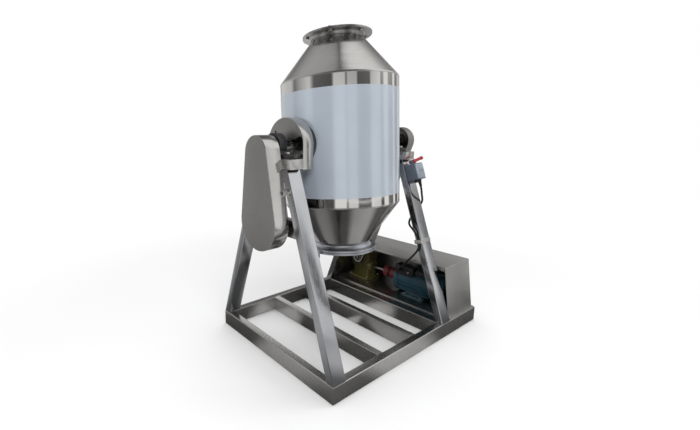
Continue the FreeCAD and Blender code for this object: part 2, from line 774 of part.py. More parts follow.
def lower_end():
    face, back, gasket_back, door_back = lower_levels()
    z = axis_height
    flange = neck(lower_flange_radius, lower_flange_face, lower_flange_face + lower_flange_thickness, -1)
    hinge_x = drum_x + hinge_reach
    hinge_z = z + back - door_gasket_thickness / 2
    leaves = []
    for y0, y1 in ((-hinge_half, -hinge_knuckle_half - hinge_gap), (hinge_knuckle_half + hinge_gap, hinge_half)):
        leaf = block(drum_x + lower_flange_radius - 8, hinge_x, y0, y1, z + back, z + face)
        leaves.append(leaf.fuse(rod_y(y0, y1, hinge_x, hinge_z, hinge_barrel_radius)))
    flange = flange.fuse(leaves)
    ear = block(drum_x - clamp_reach - 12, drum_x - lower_flange_radius + 8, -ear_half_width, ear_half_width,
                z + back, z + face)
    flange = flange.fuse(ear).removeSplitter()
    slot = rod_z(z + back, z + face, drum_x - clamp_reach, 0, clamp_slot_radius)
    slot = slot.fuse(block(drum_x - clamp_reach - 20, drum_x - clamp_reach, -clamp_slot_radius,
                           clamp_slot_radius, z + back, z + face))
    flange = flange.cut(slot)
    flange = flange.cut(rod_y(-hinge_half, hinge_half, hinge_x, hinge_z, hinge_pin_radius))
    swing = rod_y(-hinge_knuckle_half - hinge_gap, hinge_knuckle_half + hinge_gap, hinge_x, hinge_z,
                  hinge_barrel_radius + 1)
    flange = flange.cut(swing)
    save("lower_flange", lean(flange))
    gasket = turned([(neck_radius + 4, gasket_back), (lower_flange_radius - 6, gasket_back),
                     (lower_flange_radius - 6, back), (neck_radius + 4, back)], drum_x, z)
    save("door_gasket", lean(gasket))
    save("door_hinge_pin", lean(rod_y(-hinge_half - 3, hinge_half + 3, hinge_x, hinge_z, hinge_pin_radius)))
    door = rod_z(z + door_back, z + gasket_back - 0.3, drum_x, 0, lower_flange_radius)
    dish = rod_z(z + door_back, z + door_back + 4, drum_x, 0, lower_flange_radius - 22)
    dish_core = rod_z(z + door_back, z + door_back + 4, drum_x, 0, 60)
    door = door.cut(dish.cut(dish_core))
    leaf = block(drum_x + lower_flange_radius - 8, hinge_x, -hinge_knuckle_half, hinge_knuckle_half,
                 z + door_back, z + gasket_back - 0.3)
    knuckle = rod_y(-hinge_knuckle_half, hinge_knuckle_half, hinge_x, hinge_z, hinge_barrel_radius)
    tongue = block(drum_x - clamp_reach - 12, drum_x - lower_flange_radius + 8, -ear_half_width,
                   ear_half_width, z + door_back, z + gasket_back - 0.3)
    door = door.fuse([leaf, knuckle, tongue]).removeSplitter()
    barrels = rod_y(-hinge_half - 1, -hinge_knuckle_half - hinge_gap + 0.01, hinge_x, hinge_z,
                    hinge_barrel_radius + 1)
    barrels = barrels.fuse(rod_y(hinge_knuckle_half + hinge_gap - 0.01, hinge_half + 1, hinge_x, hinge_z,
                                 hinge_barrel_radius + 1))
    door = door.cut(barrels)
    door = door.cut(rod_y(-hinge_half, hinge_half, hinge_x, hinge_z, hinge_pin_radius + running_fit))
    door = door.cut(rod_z(z + door_back, z + back, drum_x - clamp_reach, 0, clamp_stud_radius + running_fit))
    save("discharge_door", lean(door))
    save("clamp_knob", lean(clamp_knob(z + door_back, z + face)))


def clamp_knob(door_back, flange_face):
    top = door_back - 0.3
    x = drum_x - clamp_reach
    knob = rod_z(top - knob_height, top, x, 0, knob_radius)
    for i in range(6):
        turn = math.radians(60 * i)
        notch = rod_z(top - knob_height, top, x + (knob_radius + 3) * math.cos(turn),
                      (knob_radius + 3) * math.sin(turn), 7.0)
        knob = knob.cut(notch)
    stud = rod_z(top - knob_height, flange_face + 6, x, 0, clamp_stud_radius)
    return knob.fuse(stud).removeSplitter()


def trunnion(sign):
    wall = drum_x + sign * (drum_radius + boss_stand_off)
    outward = wall + sign * trunnion_flange_thickness
    flange = rod_x(min(wall, outward), max(wall, outward), 0, axis_height, trunnion_flange_radius)
    if sign < 0:
        step = left_trestle - 4
        end = left_plane - left_tooth_width / 2 - 18
        small = left_shaft_step_radius
    else:
        step = right_trestle + leg_width + 6
        end = main_plane + main_tooth_width / 2 + 6
        small = right_shaft_step_radius
    shaft = rod_x(min(wall, step), max(wall, step), 0, axis_height, shaft_radius)
    tip = rod_x(min(step, end), max(step, end), 0, axis_height, small)
    shape = flange.fuse([shaft, tip]).removeSplitter()
    for y, z in trunnion_bolt_places():
        shape = shape.cut(rod_x(min(wall, outward), max(wall, outward), y, z, 6.5))
    return shape


def trunnion_bolt_places():
    places = []
    for i in range(trunnion_bolt_count):
        turn = math.radians(30 + 360 / trunnion_bolt_count * i)
        places.append((trunnion_bolt_circle * math.cos(turn),
                       axis_height + trunnion_bolt_circle * math.sin(turn)))
    return places


def trunnion_boss(sign):
    face = drum_x + sign * (drum_radius + boss_stand_off)
    inward = face - sign * 60
    boss = rod_x(min(face, inward), max(face, inward), 0, axis_height, boss_radius)
    return boss.cut(rod_z(axis_height - 200, axis_height + 200, drum_x, 0, drum_radius))


def drum():
    save("drum_shell", lean(drum_shell()))
    save("drum_film", lean(drum_film()))
    save("upper_cone", lean(cone(1)))
    save("lower_cone", lean(cone(-1)))
    upper_end()
    lower_end()
    save("left_trunnion", lean(trunnion(-1)))
    save("right_trunnion", lean(trunnion(1)))
    save("trunnion_bosses", [lean(trunnion_boss(-1)), lean(trunnion_boss(1))])
    bolts = []
    for sign in (-1, 1):
        x = drum_x + sign * (drum_radius + boss_stand_off + trunnion_flange_thickness)
        for y, z in trunnion_bolt_places():
            bolts.append(lean(bolt(6.0, trunnion_flange_thickness, V(x, y, z), V(sign, 0, 0))))
    save("trunnion_bolts", bolts)


def motor_body():
    start = motor_front + cowl_length
    shape = rod_y(start, motor_back, motor_x, motor_z, motor_radius)
    fins = []
    for i in range(motor_fin_count):
        turn = 360 / motor_fin_count * i + 9
        if 235 < turn < 305:
            continue
        fin = block(motor_x + motor_radius - 4, motor_x + motor_radius + motor_fin_height, start + 18,
                    motor_back - 30, motor_z - 2, motor_z + 2)
        fin.rotate(V(motor_x, 0, motor_z), ALONG_Y, -turn)
        fins.append(fin)
    shield = rod_y(motor_back - 26, motor_back, motor_x, motor_z, motor_radius + 6)
    nose = rod_y(motor_back, motor_back + 8, motor_x, motor_z, 30)
    foot_top = plate_top + motor_foot_thickness
    foot = block(motor_x - motor_foot_half_width, motor_x + motor_foot_half_width, motor_foot_start,
                 motor_foot_end, plate_top, foot_top)
    web = block(motor_x - 52, motor_x + 52, motor_foot_start + 10, motor_foot_end - 10, foot_top, motor_z - 30)
    shape = shape.fuse(fins + [shield, nose, foot, web]).removeSplitter()
    bore = rod_y(motor_back - 41, motor_back + 8, motor_x, motor_z, motor_shaft_radius + running_fit)
    return shape.cut(bore)


def fan_cowl():
    shape = rod_y(motor_front, motor_front + cowl_length, motor_x, motor_z, motor_radius + 5)
    rim = [edge for edge in shape.Edges if abs(edge.BoundBox.YMax - motor_front) < 0.1]
    shape = shape.makeFillet(14.0, rim[:1])
    slots = []
    for offset in (-45, -30, -15, 0, 15, 30, 45):
        reach = math.sqrt(62 ** 2 - offset ** 2)
        slots.append(block(motor_x - reach, motor_x + reach, motor_front, motor_front + 5,
                           motor_z + offset - 3, motor_z + offset + 3))
    return shape.cut(slots[0].fuse(slots[1:]))


def terminal_housings():
    low = motor_z + terminal_rise
    near = motor_x - terminal_side
    box = block(near, near + terminal_width, terminal_start, terminal_end, low, low + terminal_height)
    box = soften(box, 8.0, ALONG_Z)
    capacitor = rod_y(capacitor_start, capacitor_end, near + capacitor_inset, low + terminal_height / 2,
                      capacitor_radius)
    both = []
    for shape in (box, capacitor):
        both.append(shape.cut(rod_y(motor_front, motor_back + 5, motor_x, motor_z,
                                    motor_radius + motor_fin_height + 0.5)))
    return both


def coupling():
    hubs = []
    start = coupling_start
    for y0, inner in ((start, motor_shaft_radius), (start + coupling_hub_length + spider_length, motor_shaft_radius)):
        hub = rod_y(y0, y0 + coupling_hub_length, motor_x, motor_z, coupling_radius)
        hubs.append(hub.cut(rod_y(y0, y0 + coupling_hub_length, motor_x, motor_z, inner)))
    save("coupling_hubs", hubs)
    y0 = start + coupling_hub_length
    spider = rod_y(y0, y0 + spider_length, motor_x, motor_z, coupling_radius - 1)
    for i in range(6):
        turn = math.radians(60 * i)
        notch = rod_y(y0, y0 + spider_length, motor_x + 33 * math.cos(turn), motor_z + 33 * math.sin(turn), 6.0)
        spider = spider.cut(notch)
    spider = spider.cut(rod_y(y0, y0 + spider_length, motor_x, motor_z, 14))
    save("coupling_spider", spider)
    save("motor_shaft", rod_y(motor_back - 40, y0 - 1, motor_x, motor_z, motor_shaft_radius))
    worm_end = gearbox_y - gearbox_worm_half_length
    save("worm_shaft", rod_y(y0 + spider_length + 1, worm_end + 30, motor_x, motor_z, motor_shaft_radius))


def gearbox_case():
    y = gearbox_y
    half = gearbox_half_width
    wheel = rod_x(motor_x - half, motor_x + half, y, wheel_z, gearbox_wheel_radius)
    worm = rod_y(y - gearbox_worm_half_length, y + gearbox_worm_half_length, motor_x, motor_z, gearbox_worm_radius)
    bulk = prism_x([(y - gearbox_wheel_radius + 5, wheel_z + 3), (y + gearbox_wheel_radius - 5, wheel_z + 3),
                    (y + 62, plate_top + 12), (y - 62, plate_top + 12)], motor_x - half + 13, motor_x + half - 13)
    foot_top = plate_top + gearbox_foot_thickness
    foot = block(motor_x - gearbox_foot_half_width, motor_x + gearbox_foot_half_width,
                 y - gearbox_foot_half_length, y + gearbox_foot_half_length, plate_top, foot_top)
    foot = soften(foot, 8.0, ALONG_Z)
    ribs = []
    for offset in (-30, 0, 30):
        ribs.append(block(motor_x - half + 2, motor_x + half - 2, y + offset - 3, y + offset + 3,
                          foot_top, wheel_z - 20))
    crown = block(motor_x - 26, motor_x + 26, y - 24, y + 24, wheel_z + 40, wheel_z + gearbox_wheel_radius + 4)
    breather = rod_z(wheel_z + gearbox_wheel_radius + 4, wheel_z + gearbox_wheel_radius + 18, motor_x, y, 7)
    shape = wheel.fuse([worm, bulk, foot, crown, breather] + ribs).removeSplitter()
    shape = shape.cut(rod_x(motor_x - half - 5, motor_x + half - 20, y, wheel_z, output_radius + running_fit))
    bore_end = y - gearbox_worm_half_length + 31
    shape = shape.cut(rod_y(y - gearbox_worm_half_length - 1, bore_end, motor_x, motor_z,
                            motor_shaft_radius + running_fit))
    return shape


def gearbox_caps():
    half = gearbox_half_width
    near = rod_x(motor_x - half - 8, motor_x - half, gearbox_y, wheel_z, output_cap_radius)
    near = near.fuse(rod_x(motor_x - half - 12, motor_x - half - 8, gearbox_y, wheel_z, output_cap_radius - 12))
    near = near.cut(rod_x(motor_x - half - 12, motor_x - half, gearbox_y, wheel_z, output_radius + running_fit))
    far = rod_x(motor_x + half, motor_x + half + 8, gearbox_y, wheel_z, output_cap_radius)
    return [near.removeSplitter(), far]


def motor_cover():
    x0 = drive_left + cover_gap
    x1 = base_right - 2
    low = rail_height

    def outline(inset, drop):
        top = cover_top - inset + drop
        return [(cover_front + inset, low), (cover_back - inset, low),
                (cover_back - cover_slope - inset, top), (cover_front + cover_slope + inset, top)]

    outer = prism_x(outline(0, 0), x0, x1)
    inner = prism_x(outline(cover_sheet, 0), x0, x1 - cover_sheet)
    shell = outer.cut(inner)
    lip = block(x0, x0 + cover_sheet, cover_front + cover_slope + 1, cover_back - cover_slope - 1,
                cover_top - cover_lip, cover_top - 1)
    feet = [block(x0, x1, cover_front - cover_foot, cover_front + 1, low, low + cover_sheet),
            block(x0, x1, cover_back - 1, cover_back + cover_foot, low, low + cover_sheet)]
    shell = shell.fuse([lip] + feet).removeSplitter()
    centre = gearbox_y * (axis_height - cover_top) / (axis_height - wheel_z)
    notch_right = right_trestle + leg_width + right_guard_gap + right_guard_depth + 6
    notch = block(x0 - 1, notch_right, centre - 95, centre + 95, cover_top - cover_lip - 4, cover_top + 1)
    return shell.cut(notch)


def drive_unit():
    plate = block(drive_left - plate_overlap, base_right - plate_end_gap, -plate_half_width,
                  plate_half_width, rail_height, plate_top)
    save("motor_plate", plate)
    save("motor_body", motor_body())
    save("fan_cowl", fan_cowl())
    save("terminal_box", terminal_housings())
    coupling()
    save("gearbox_case", gearbox_case())
    save("gearbox_caps", gearbox_caps())
    save("output_shaft", rod_x(main_plane - 12, motor_x + gearbox_half_width - 21, gearbox_y, wheel_z, output_radius))
    save("motor_cover", motor_cover())


def on_leg(shape):
    # Moves a shape built against the plane Y = 0 onto the sloping front of the right front leg
    placed = shape.copy()
    placed.rotate(ORIGIN, ALONG_X, -leg_angle)
    y = leg_lean * (switch_height - rail_height) - half_width
    placed.translate(V(right_trestle + leg_width / 2, y, switch_height))
    return placed


def on_leg_point(x, y, z):
    turn = math.radians(leg_angle)
    base_y = leg_lean * (switch_height - rail_height) - half_width
    return V(right_trestle + leg_width / 2 + x, base_y + y * math.cos(turn) + z * math.sin(turn),
             switch_height - y * math.sin(turn) + z * math.cos(turn))


def switch():
    back = -switch_bracket
    front = back - switch_depth
    plate = block(-28, 28, back, 0, -12, switch_tall + 6)
    body = block(-switch_half_width, switch_half_width, front, back, 0, switch_tall)
    body = soften(body, 5.0, ALONG_Y)
    pivot_z = switch_tall + lever_pivot_rise
    tower = block(lever_pivot_x - 11, lever_pivot_x + 11, -lever_out - 10, -lever_out + 10, switch_tall, pivot_z)
    tower = tower.fuse(rod_y(-lever_out - 10, -lever_out + 10, lever_pivot_x, pivot_z, 11))
    body = body.fuse([plate, tower]).removeSplitter()
    body = body.cut(rod_y(-lever_out - 12, -lever_out + 12, lever_pivot_x, pivot_z, 5 + running_fit))
    save("switch_box", on_leg(body))
    cover = block(-switch_half_width + 4, switch_half_width - 4, front - 3, front, 5, switch_tall - 5)
    cover = soften(cover, 5.0, ALONG_Y)
    panel = block(-8, switch_half_width - 8, front - 5, front - 3, 48, switch_tall - 12)
    save("switch_cover", on_leg(cover.fuse(panel).removeSplitter()))
    save("switch_lever", on_leg(lever(pivot_z)))


def lever(pivot_z):
    # Fork with a cross pin and a round grip, thrown over to the right
    leg_parts = []
    for offset in (-16.5, 11.5):
        y0 = -lever_out + offset
        leg_parts.append(rod_y(y0, y0 + 5, lever_pivot_x, pivot_z, 11))
        leg_parts.append(block(lever_pivot_x, lever_pivot_x + 28, y0, y0 + 5, pivot_z - 8, pivot_z + 8))
    bridge = block(lever_pivot_x + 17, lever_pivot_x + 29, -lever_out - 16.5, -lever_out + 16.5, pivot_z - 8, pivot_z + 8)
    grip = rod_x(lever_pivot_x + 24, lever_pivot_x + lever_reach - 9, -lever_out, pivot_z, 8.5)
    knob = Part.makeSphere(10.5, V(lever_pivot_x + lever_reach - 10.5, -lever_out, pivot_z))
    pin = rod_y(-lever_out - 16.5, -lever_out + 16.5, lever_pivot_x, pivot_z, 5)
    shape = leg_parts[0].fuse(leg_parts[1:] + [bridge, grip, knob, pin]).removeSplitter()
    shape.rotate(V(lever_pivot_x, 0, pivot_z), ALONG_Y, -lever_rest)
    return shape


def lead_points():
    # From the gland under the switch, round the leg, through the tie and on to the motor
    out = -gland_stand_out
    side = leg_width / 2 + lead_side_gap
    back = leg_depth + lead_back_gap
    top = -lead_turn_drop
    points = [on_leg_point(lead_gland_x, out, -gland_length),
              on_leg_point(lead_gland_x, out, top + 1.4 * lead_step),
              on_leg_point(lead_gland_x + lead_step / 2, out + 0.6 * lead_step, top),
              on_leg_point(side, -lead_step / 3, top - 1.2 * lead_step),
              on_leg_point(side + lead_step / 3, 0.7 * lead_step, top - 2.25 * lead_step),
              on_leg_point(side + lead_step / 8, back - lead_step / 3, top - 3.25 * lead_step),
              on_leg_point(0.7 * lead_step, back, top - 4.25 * lead_step),
              on_leg_point(-0.8 * lead_step, back, top - 5.15 * lead_step),
              on_leg_point(-side - lead_step / 5, back - lead_step / 3, top - 6.15 * lead_step),
              on_leg_point(-side - lead_step / 2, leg_depth / 2 + lead_step / 4, top - 7.5 * lead_step),
              on_leg_point(-side + 0.5, leg_depth / 2 - 1, top - 9.15 * lead_step),
              on_leg_point(-side + 0.5, leg_depth / 2 - 1, -tie_drop - tie_width - 0.6 * lead_step),
              on_leg_point(-side - lead_step / 6, back - 9, -tie_drop - tie_width - 2.2 * lead_step)]
    entry = V(motor_x - terminal_side - gland_length, lead_entry_y, motor_z + terminal_rise + lead_entry_rise)
    return points + [entry - V(46, 0, 0), entry]


def rounded_path(points):
    # Straight runs joined by tangent arcs, each as large as its two runs allow
    edges = []
    radii = []
    start = points[0]
    for i in range(1, len(points) - 1):
        before = points[i] - points[i - 1]
        after = points[i + 1] - points[i]
        turn = before.getAngle(after)
        cut = 0.45 * min(before.Length, after.Length)
        radius = cut / math.tan(turn / 2)
        radii.append(radius)
        first = points[i] - V(before).normalize() * cut
        last = points[i] + V(after).normalize() * cut
        inward = (V(after).normalize() - V(before).normalize()).normalize()
        middle = points[i] + inward * (radius / math.cos(turn / 2) - radius)
        edges.append(Part.LineSegment(start, first).toShape())
        edges.append(Part.Arc(first, middle, last).toShape())
        start = last
    edges.append(Part.LineSegment(start, points[-1]).toShape())
    return Part.Wire(edges), radii


def motor_lead():
    points = lead_points()
    wire, radii = rounded_path(points)
    way = (points[1] - points[0]).normalize()
    circle = Part.Wire(Part.makeCircle(lead_radius, points[0], way))
    tube = wire.makePipeShell([circle], True, False)
    expected = math.pi * lead_radius ** 2 * wire.Length
    print("lead length", round(wire.Length, 1), "volume ratio", round(tube.Volume / expected, 4),
          "smallest radius", round(min(radii), 1))
    save("motor_lead", tube)
    up = on_leg_point(0, 0, 1) - on_leg_point(0, 0, 0)
    place = on_leg_point(supply_gland_x, -gland_stand_out, -gland_length)
    supply = gland(place, up).cut(Part.makeCylinder(supply_bore, gland_length, place, up))
    save("cable_glands", [gland(points[0], up), gland(points[-1], ALONG_X), supply])


def gland(place, inward):
    # Screwed gland between a housing and the end of a lead
    body = Part.makeCylinder(gland_radius, gland_length, place, inward)
    nut = hexagon(gland_radius + 3, 7.0, place + inward * (gland_length / 2), inward)
    return body.fuse(nut).removeSplitter()


def lead_tie():
    # Band pulled round the leg and the lead together
    x0 = -leg_width / 2 - 2 * lead_radius - 3.0
    low = -tie_drop - tie_width
    outer = block(x0, leg_width / 2 + 2, -2, leg_depth + 2, low, -tie_drop)
    outer = soften(outer, 6.0, ALONG_Z)
    inner = block(x0 + 1.5, leg_width / 2 + 0.5, -0.5, leg_depth + 0.5, low, -tie_drop)
    inner = soften(inner, 4.5, ALONG_Z)
    return on_leg(outer.cut(inner))


def fasteners():
    items = []
    for x in (left_bearing_x, right_bearing_x):
        for side in (-1, 1):
            place = V(x, side * bearing_bolt_spacing / 2, seat_top + bearing_foot_thickness)
            items.append(bolt(bearing_bolt_radius - 0.5, bearing_foot_thickness + seat_wall + 10, place, ALONG_Z))
    for side in (-1, 1):
        place = V(left_trestle - guard_tab_thickness, side * (guard_tab_reach - 13), guard_tab_height)
        items.append(bolt(fixing_radius, guard_tab_thickness + tube_wall + 4, place, V(-1, 0, 0)))
    for side in (-1, 1):
        x = motor_x + side * motor_bolt_reach
        for y in (motor_foot_start + motor_bolt_inset, motor_foot_end - motor_bolt_inset):
            items.append(bolt(fixing_radius, motor_foot_thickness - 1,
                              V(x, y, plate_top + motor_foot_thickness), ALONG_Z))
        x = motor_x + side * gearbox_bolt_reach
        for y in (gearbox_y - gearbox_bolt_spread, gearbox_y + gearbox_bolt_spread):
            items.append(bolt(fixing_radius, gearbox_foot_thickness - 1,
                              V(x, y, plate_top + gearbox_foot_thickness), ALONG_Z))
    for side in (-1, 1):
        place = V(left_trestle + tie_bar_inset - counter_flange_thickness,
                  countershaft_y + side * counter_bolt_reach, countershaft_height)
        items.append(bolt(fixing_radius, counter_flange_thickness - 1, place, V(-1, 0, 0)))
    save("frame_bolts", items)


base_frame()
trestles()
bearings()
save("trunnion_hood", trunnion_hood())
left_drive()
main_drive()
drum()
drive_unit()
switch()
motor_lead()
save("lead_tie", lead_tie())
fasteners()
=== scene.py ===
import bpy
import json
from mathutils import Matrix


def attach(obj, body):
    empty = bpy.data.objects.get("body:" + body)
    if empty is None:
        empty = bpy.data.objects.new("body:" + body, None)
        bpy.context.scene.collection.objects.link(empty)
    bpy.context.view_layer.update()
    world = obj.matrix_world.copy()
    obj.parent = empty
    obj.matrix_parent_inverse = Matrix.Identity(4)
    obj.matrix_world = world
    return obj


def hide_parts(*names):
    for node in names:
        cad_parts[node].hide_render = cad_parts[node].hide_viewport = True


bl_info = {
    "name": "Drum Mixer",
    "version": (1, 0, 0),
    "blender": (4, 5, 0),
    "location": "3D View > Sidebar > Drum Mixer",
    "description": "Dresses a tilting drum mixer and sets its studio",
    "category": "Object",
}

import json
import math

import bpy
from mathutils import Matrix, Vector

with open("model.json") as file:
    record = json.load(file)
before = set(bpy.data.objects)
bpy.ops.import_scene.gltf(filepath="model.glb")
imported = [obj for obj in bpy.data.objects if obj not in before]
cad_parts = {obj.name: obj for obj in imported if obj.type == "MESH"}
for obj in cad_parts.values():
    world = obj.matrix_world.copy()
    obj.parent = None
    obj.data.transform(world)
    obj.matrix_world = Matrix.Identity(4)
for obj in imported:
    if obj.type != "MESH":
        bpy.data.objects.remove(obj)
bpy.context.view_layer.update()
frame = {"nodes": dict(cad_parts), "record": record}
BODY_OF = {}
for body_name, members in frame["record"]["behaviour"]["bodies"].items():
    for member in members:
        BODY_OF[member] = body_name

# Places and sizes that several pieces share, in metres
DRUM_X = -0.105
AXIS_HEIGHT = 1.0722
DRUM_LEAN = math.radians(-4.0)
DRUM_HALF_HEIGHT = 0.306
DRUM_WALL = 0.003
DRUM_SIDES = 192
LEFT_TRESTLE = -0.575
RIGHT_TRESTLE = 0.285
TRESTLE_WIDTH = 0.080
LEG_DEPTH = 0.040
LEG_SLOPE = 308.0 / 885.0
HALF_BASE_WIDTH = 0.435
RAIL_TOP = 0.085
GUARD_NEAR = RIGHT_TRESTLE + 0.120
GUARD_FAR = GUARD_NEAR + 0.060
OUTPUT_SHAFT_Y = 0.283
OUTPUT_SHAFT_HEIGHT = 0.251
FOLD_RADIUS = 0.003

# Radius and distance from the trunnion axis at which each cone meets its neck, upper and lower
CONE_ENDS = {1: (0.133, 0.516), -1: (0.147, 0.524)}


# Choosing things in the scene and in edit mode


def clear_selection():
    if bpy.context.object and bpy.context.object.mode != "OBJECT":
        bpy.ops.object.mode_set(mode="OBJECT")
    bpy.ops.object.select_all(action="DESELECT")


def select_only(piece):
    clear_selection()
    piece.select_set(True)
    bpy.context.view_layer.objects.active = piece


def edit(piece, mode="FACE"):
    select_only(piece)
    bpy.ops.object.mode_set(mode="EDIT")
    bpy.ops.mesh.select_mode(type=mode)
    bpy.ops.mesh.select_all(action="DESELECT")


def done_editing():
    bpy.ops.object.mode_set(mode="OBJECT")


def pick_faces(piece, wanted):
    bpy.ops.object.mode_set(mode="OBJECT")
    for face in piece.data.polygons:
        face.select = bool(wanted(face))
    bpy.ops.object.mode_set(mode="EDIT")


def pick_edges(piece, wanted):
    bpy.ops.object.mode_set(mode="OBJECT")
    points = piece.data.vertices
    for edge in piece.data.edges:
        edge.select = bool(wanted(points[edge.vertices[0]].co, points[edge.vertices[1]].co))
    bpy.ops.object.mode_set(mode="EDIT")


def settle(piece):
    select_only(piece)
    bpy.ops.object.transform_apply(location=True, rotation=True, scale=True)


def use_modifier(piece, kind, **settings):
    select_only(piece)
    modifier = piece.modifiers.new(kind.title(), kind)
    for key, value in settings.items():
        setattr(modifier, key, value)
    bpy.ops.object.modifier_apply(modifier=modifier.name)


def soften_edges(piece, width, angle=40.0, segments=2):
    use_modifier(
        piece,
        "BEVEL",
        width=width,
        segments=segments,
        limit_method="ANGLE",
        angle_limit=math.radians(angle),
        use_clamp_overlap=True,
    )


def smooth(piece, angle=35.0):
    select_only(piece)
    bpy.ops.object.shade_smooth_by_angle(angle=math.radians(angle))
    return piece


def joined(name, pieces):
    clear_selection()
    for piece in pieces:
        piece.select_set(True)
    bpy.context.view_layer.objects.active = pieces[0]
    bpy.ops.object.join()
    whole = bpy.context.object
    whole.name = name
    return whole


# Shapes that several pieces start from


def block(name, low, high):
    clear_selection()
    middle = [(a + b) / 2 for a, b in zip(low, high)]
    size = [b - a for a, b in zip(low, high)]
    bpy.ops.mesh.primitive_cube_add(size=1, location=middle, scale=size)
    piece = bpy.context.object
    piece.name = name
    settle(piece)
    return piece


def rod(name, start, end, radius, sides=48):
    clear_selection()
    start = Vector(start)
    end = Vector(end)
    way = end - start
    bpy.ops.mesh.primitive_cylinder_add(
        vertices=sides, radius=radius, depth=way.length, location=(start + end) / 2,
        rotation=way.to_track_quat("Z", "Y").to_euler(),
    )
    piece = bpy.context.object
    piece.name = name
    settle(piece)
    return piece


def turned(name, rings, sides=128, closed=False):
    """A lathe form about Z: each ring is pulled out of the last one and resized."""
    clear_selection()
    radius, height = rings[0]
    bpy.ops.mesh.primitive_circle_add(vertices=sides, radius=radius, location=(0, 0, 0))
    piece = bpy.context.object
    piece.name = name
    bpy.ops.object.mode_set(mode="EDIT")
    bpy.ops.mesh.select_mode(type="EDGE")
    bpy.ops.mesh.select_all(action="SELECT")
    bpy.ops.transform.translate(value=(0, 0, height))
    if not closed:
        bpy.ops.mesh.edge_face_add()
        bpy.ops.mesh.select_mode(type="EDGE")
        bpy.ops.mesh.select_all(action="DESELECT")
        bpy.ops.mesh.select_all(action="SELECT")
    rest = rings[1:] + (rings[:1] if closed else [])
    for next_radius, next_height in rest:
        bpy.ops.mesh.extrude_edges_move(
            TRANSFORM_OT_translate={"value": (0, 0, next_height - height)}
        )
        share = next_radius / radius
        bpy.ops.transform.resize(value=(share, share, 1), center_override=(0, 0, next_height))
        radius, height = next_radius, next_height
    if not closed:
        bpy.ops.mesh.edge_face_add()
    bpy.ops.mesh.select_all(action="SELECT")
    bpy.ops.mesh.remove_doubles(threshold=0.000002)
    bpy.ops.mesh.normals_make_consistent(inside=False)
    done_editing()
    return piece


def place(piece, location, rotation=(0, 0, 0)):
    piece.location = location
    piece.rotation_euler = rotation
    settle(piece)
    return piece


def lean_on_drum(piece):
    """From upright about the drum's middle to its place on the leaning drum."""
    return place(piece, (DRUM_X, 0, AXIS_HEIGHT), (DRUM_LEAN, 0, 0))


def arc_points(centre, radius, first, last, steps=6):
    """Points on an arc between two angles in degrees, both ends included."""
    points = []
    for i in range(steps + 1):
        turn = math.radians(first + (last - first) * i / steps)
        points.append((centre[0] + radius * math.cos(turn), centre[1] + radius * math.sin(turn)))
    return points


def wrapped(name, pieces):
    """One tight skin round several solids, as sheet is folded round them."""
    whole = joined(name, pieces)
    edit(whole, "VERT")
    bpy.ops.mesh.select_all(action="SELECT")
    bpy.ops.mesh.convex_hull()
    bpy.ops.mesh.select_all(action="SELECT")
    bpy.ops.mesh.dissolve_limited(angle_limit=math.radians(0.5))
    bpy.ops.mesh.select_all(action="SELECT")
    bpy.ops.mesh.normals_make_consistent(inside=False)
    done_editing()
    return whole


def open_side(piece, wanted):
    edit(piece)
    pick_faces(piece, wanted)
    bpy.ops.mesh.delete(type="FACE")
    done_editing()


def cut_away(piece, cutter, operation="DIFFERENCE"):
    use_modifier(piece, "BOOLEAN", object=cutter, operation=operation, solver="EXACT")
    bpy.data.objects.remove(cutter)


# Shared effects, each a node group


def new_group(name, inputs, outputs):
    group = bpy.data.node_groups.new(name, "ShaderNodeTree")
    for title, kind, default in inputs:
        socket = group.interface.new_socket(name=title, in_out="INPUT", socket_type=kind)
        socket.default_value = default
    for title, kind in outputs:
        group.interface.new_socket(name=title, in_out="OUTPUT", socket_type=kind)
    start = group.nodes.new("NodeGroupInput")
    end = group.nodes.new("NodeGroupOutput")
    return group, start, end


def span(nodes, low, high):
    """Gives 0 where what it measures is low and 1 where it is high."""
    node = nodes.new("ShaderNodeMapRange")
    node.inputs["From Min"].default_value = low
    node.inputs["From Max"].default_value = high
    return node


def worked_out(nodes, operation, kind="ShaderNodeMath"):
    """A sum on numbers, or on vectors where that kind is asked for."""
    node = nodes.new(kind)
    node.operation = operation
    return node


def colour_blend(nodes):
    """Goes from colour A to colour B as its factor rises."""
    node = nodes.new("ShaderNodeMix")
    node.data_type = "RGBA"
    return node


def stretched_noise(group, start, detail, roughness=0.5):
    """Noise that sits on the piece and is drawn out by the group's own Stretch."""
    nodes, links = group.nodes, group.links
    place_on = nodes.new("ShaderNodeTexCoord")
    stretch = nodes.new("ShaderNodeMapping")
    noise = nodes.new("ShaderNodeTexNoise")
    noise.inputs["Scale"].default_value = 1.0
    noise.inputs["Detail"].default_value = detail
    noise.inputs["Roughness"].default_value = roughness
    links.new(place_on.outputs["Object"], stretch.inputs["Vector"])
    links.new(start.outputs["Stretch"], stretch.inputs["Scale"])
    links.new(stretch.outputs["Vector"], noise.inputs["Vector"])
    return noise


def grain_group():
    """Fine straight grain left by a belt or a brush."""
    group, start, end = new_group(
        "Metal grain",
        [("Stretch", "NodeSocketVector", (1.0, 1.0, 1.0)), ("Smoothest", "NodeSocketFloat", 0.3),
         ("Roughest", "NodeSocketFloat", 0.5)],
        [("Height", "NodeSocketFloat"), ("Roughness", "NodeSocketFloat")],
    )
    links = group.links
    grain = stretched_noise(group, start, 5.0, 0.65)
    spread = span(group.nodes, 0.3, 0.7)
    links.new(grain.outputs["Fac"], spread.inputs["Value"])
    links.new(start.outputs["Smoothest"], spread.inputs["To Min"])
    links.new(start.outputs["Roughest"], spread.inputs["To Max"])
    links.new(grain.outputs["Fac"], end.inputs["Height"])
    links.new(spread.outputs["Result"], end.inputs["Roughness"])
    return group


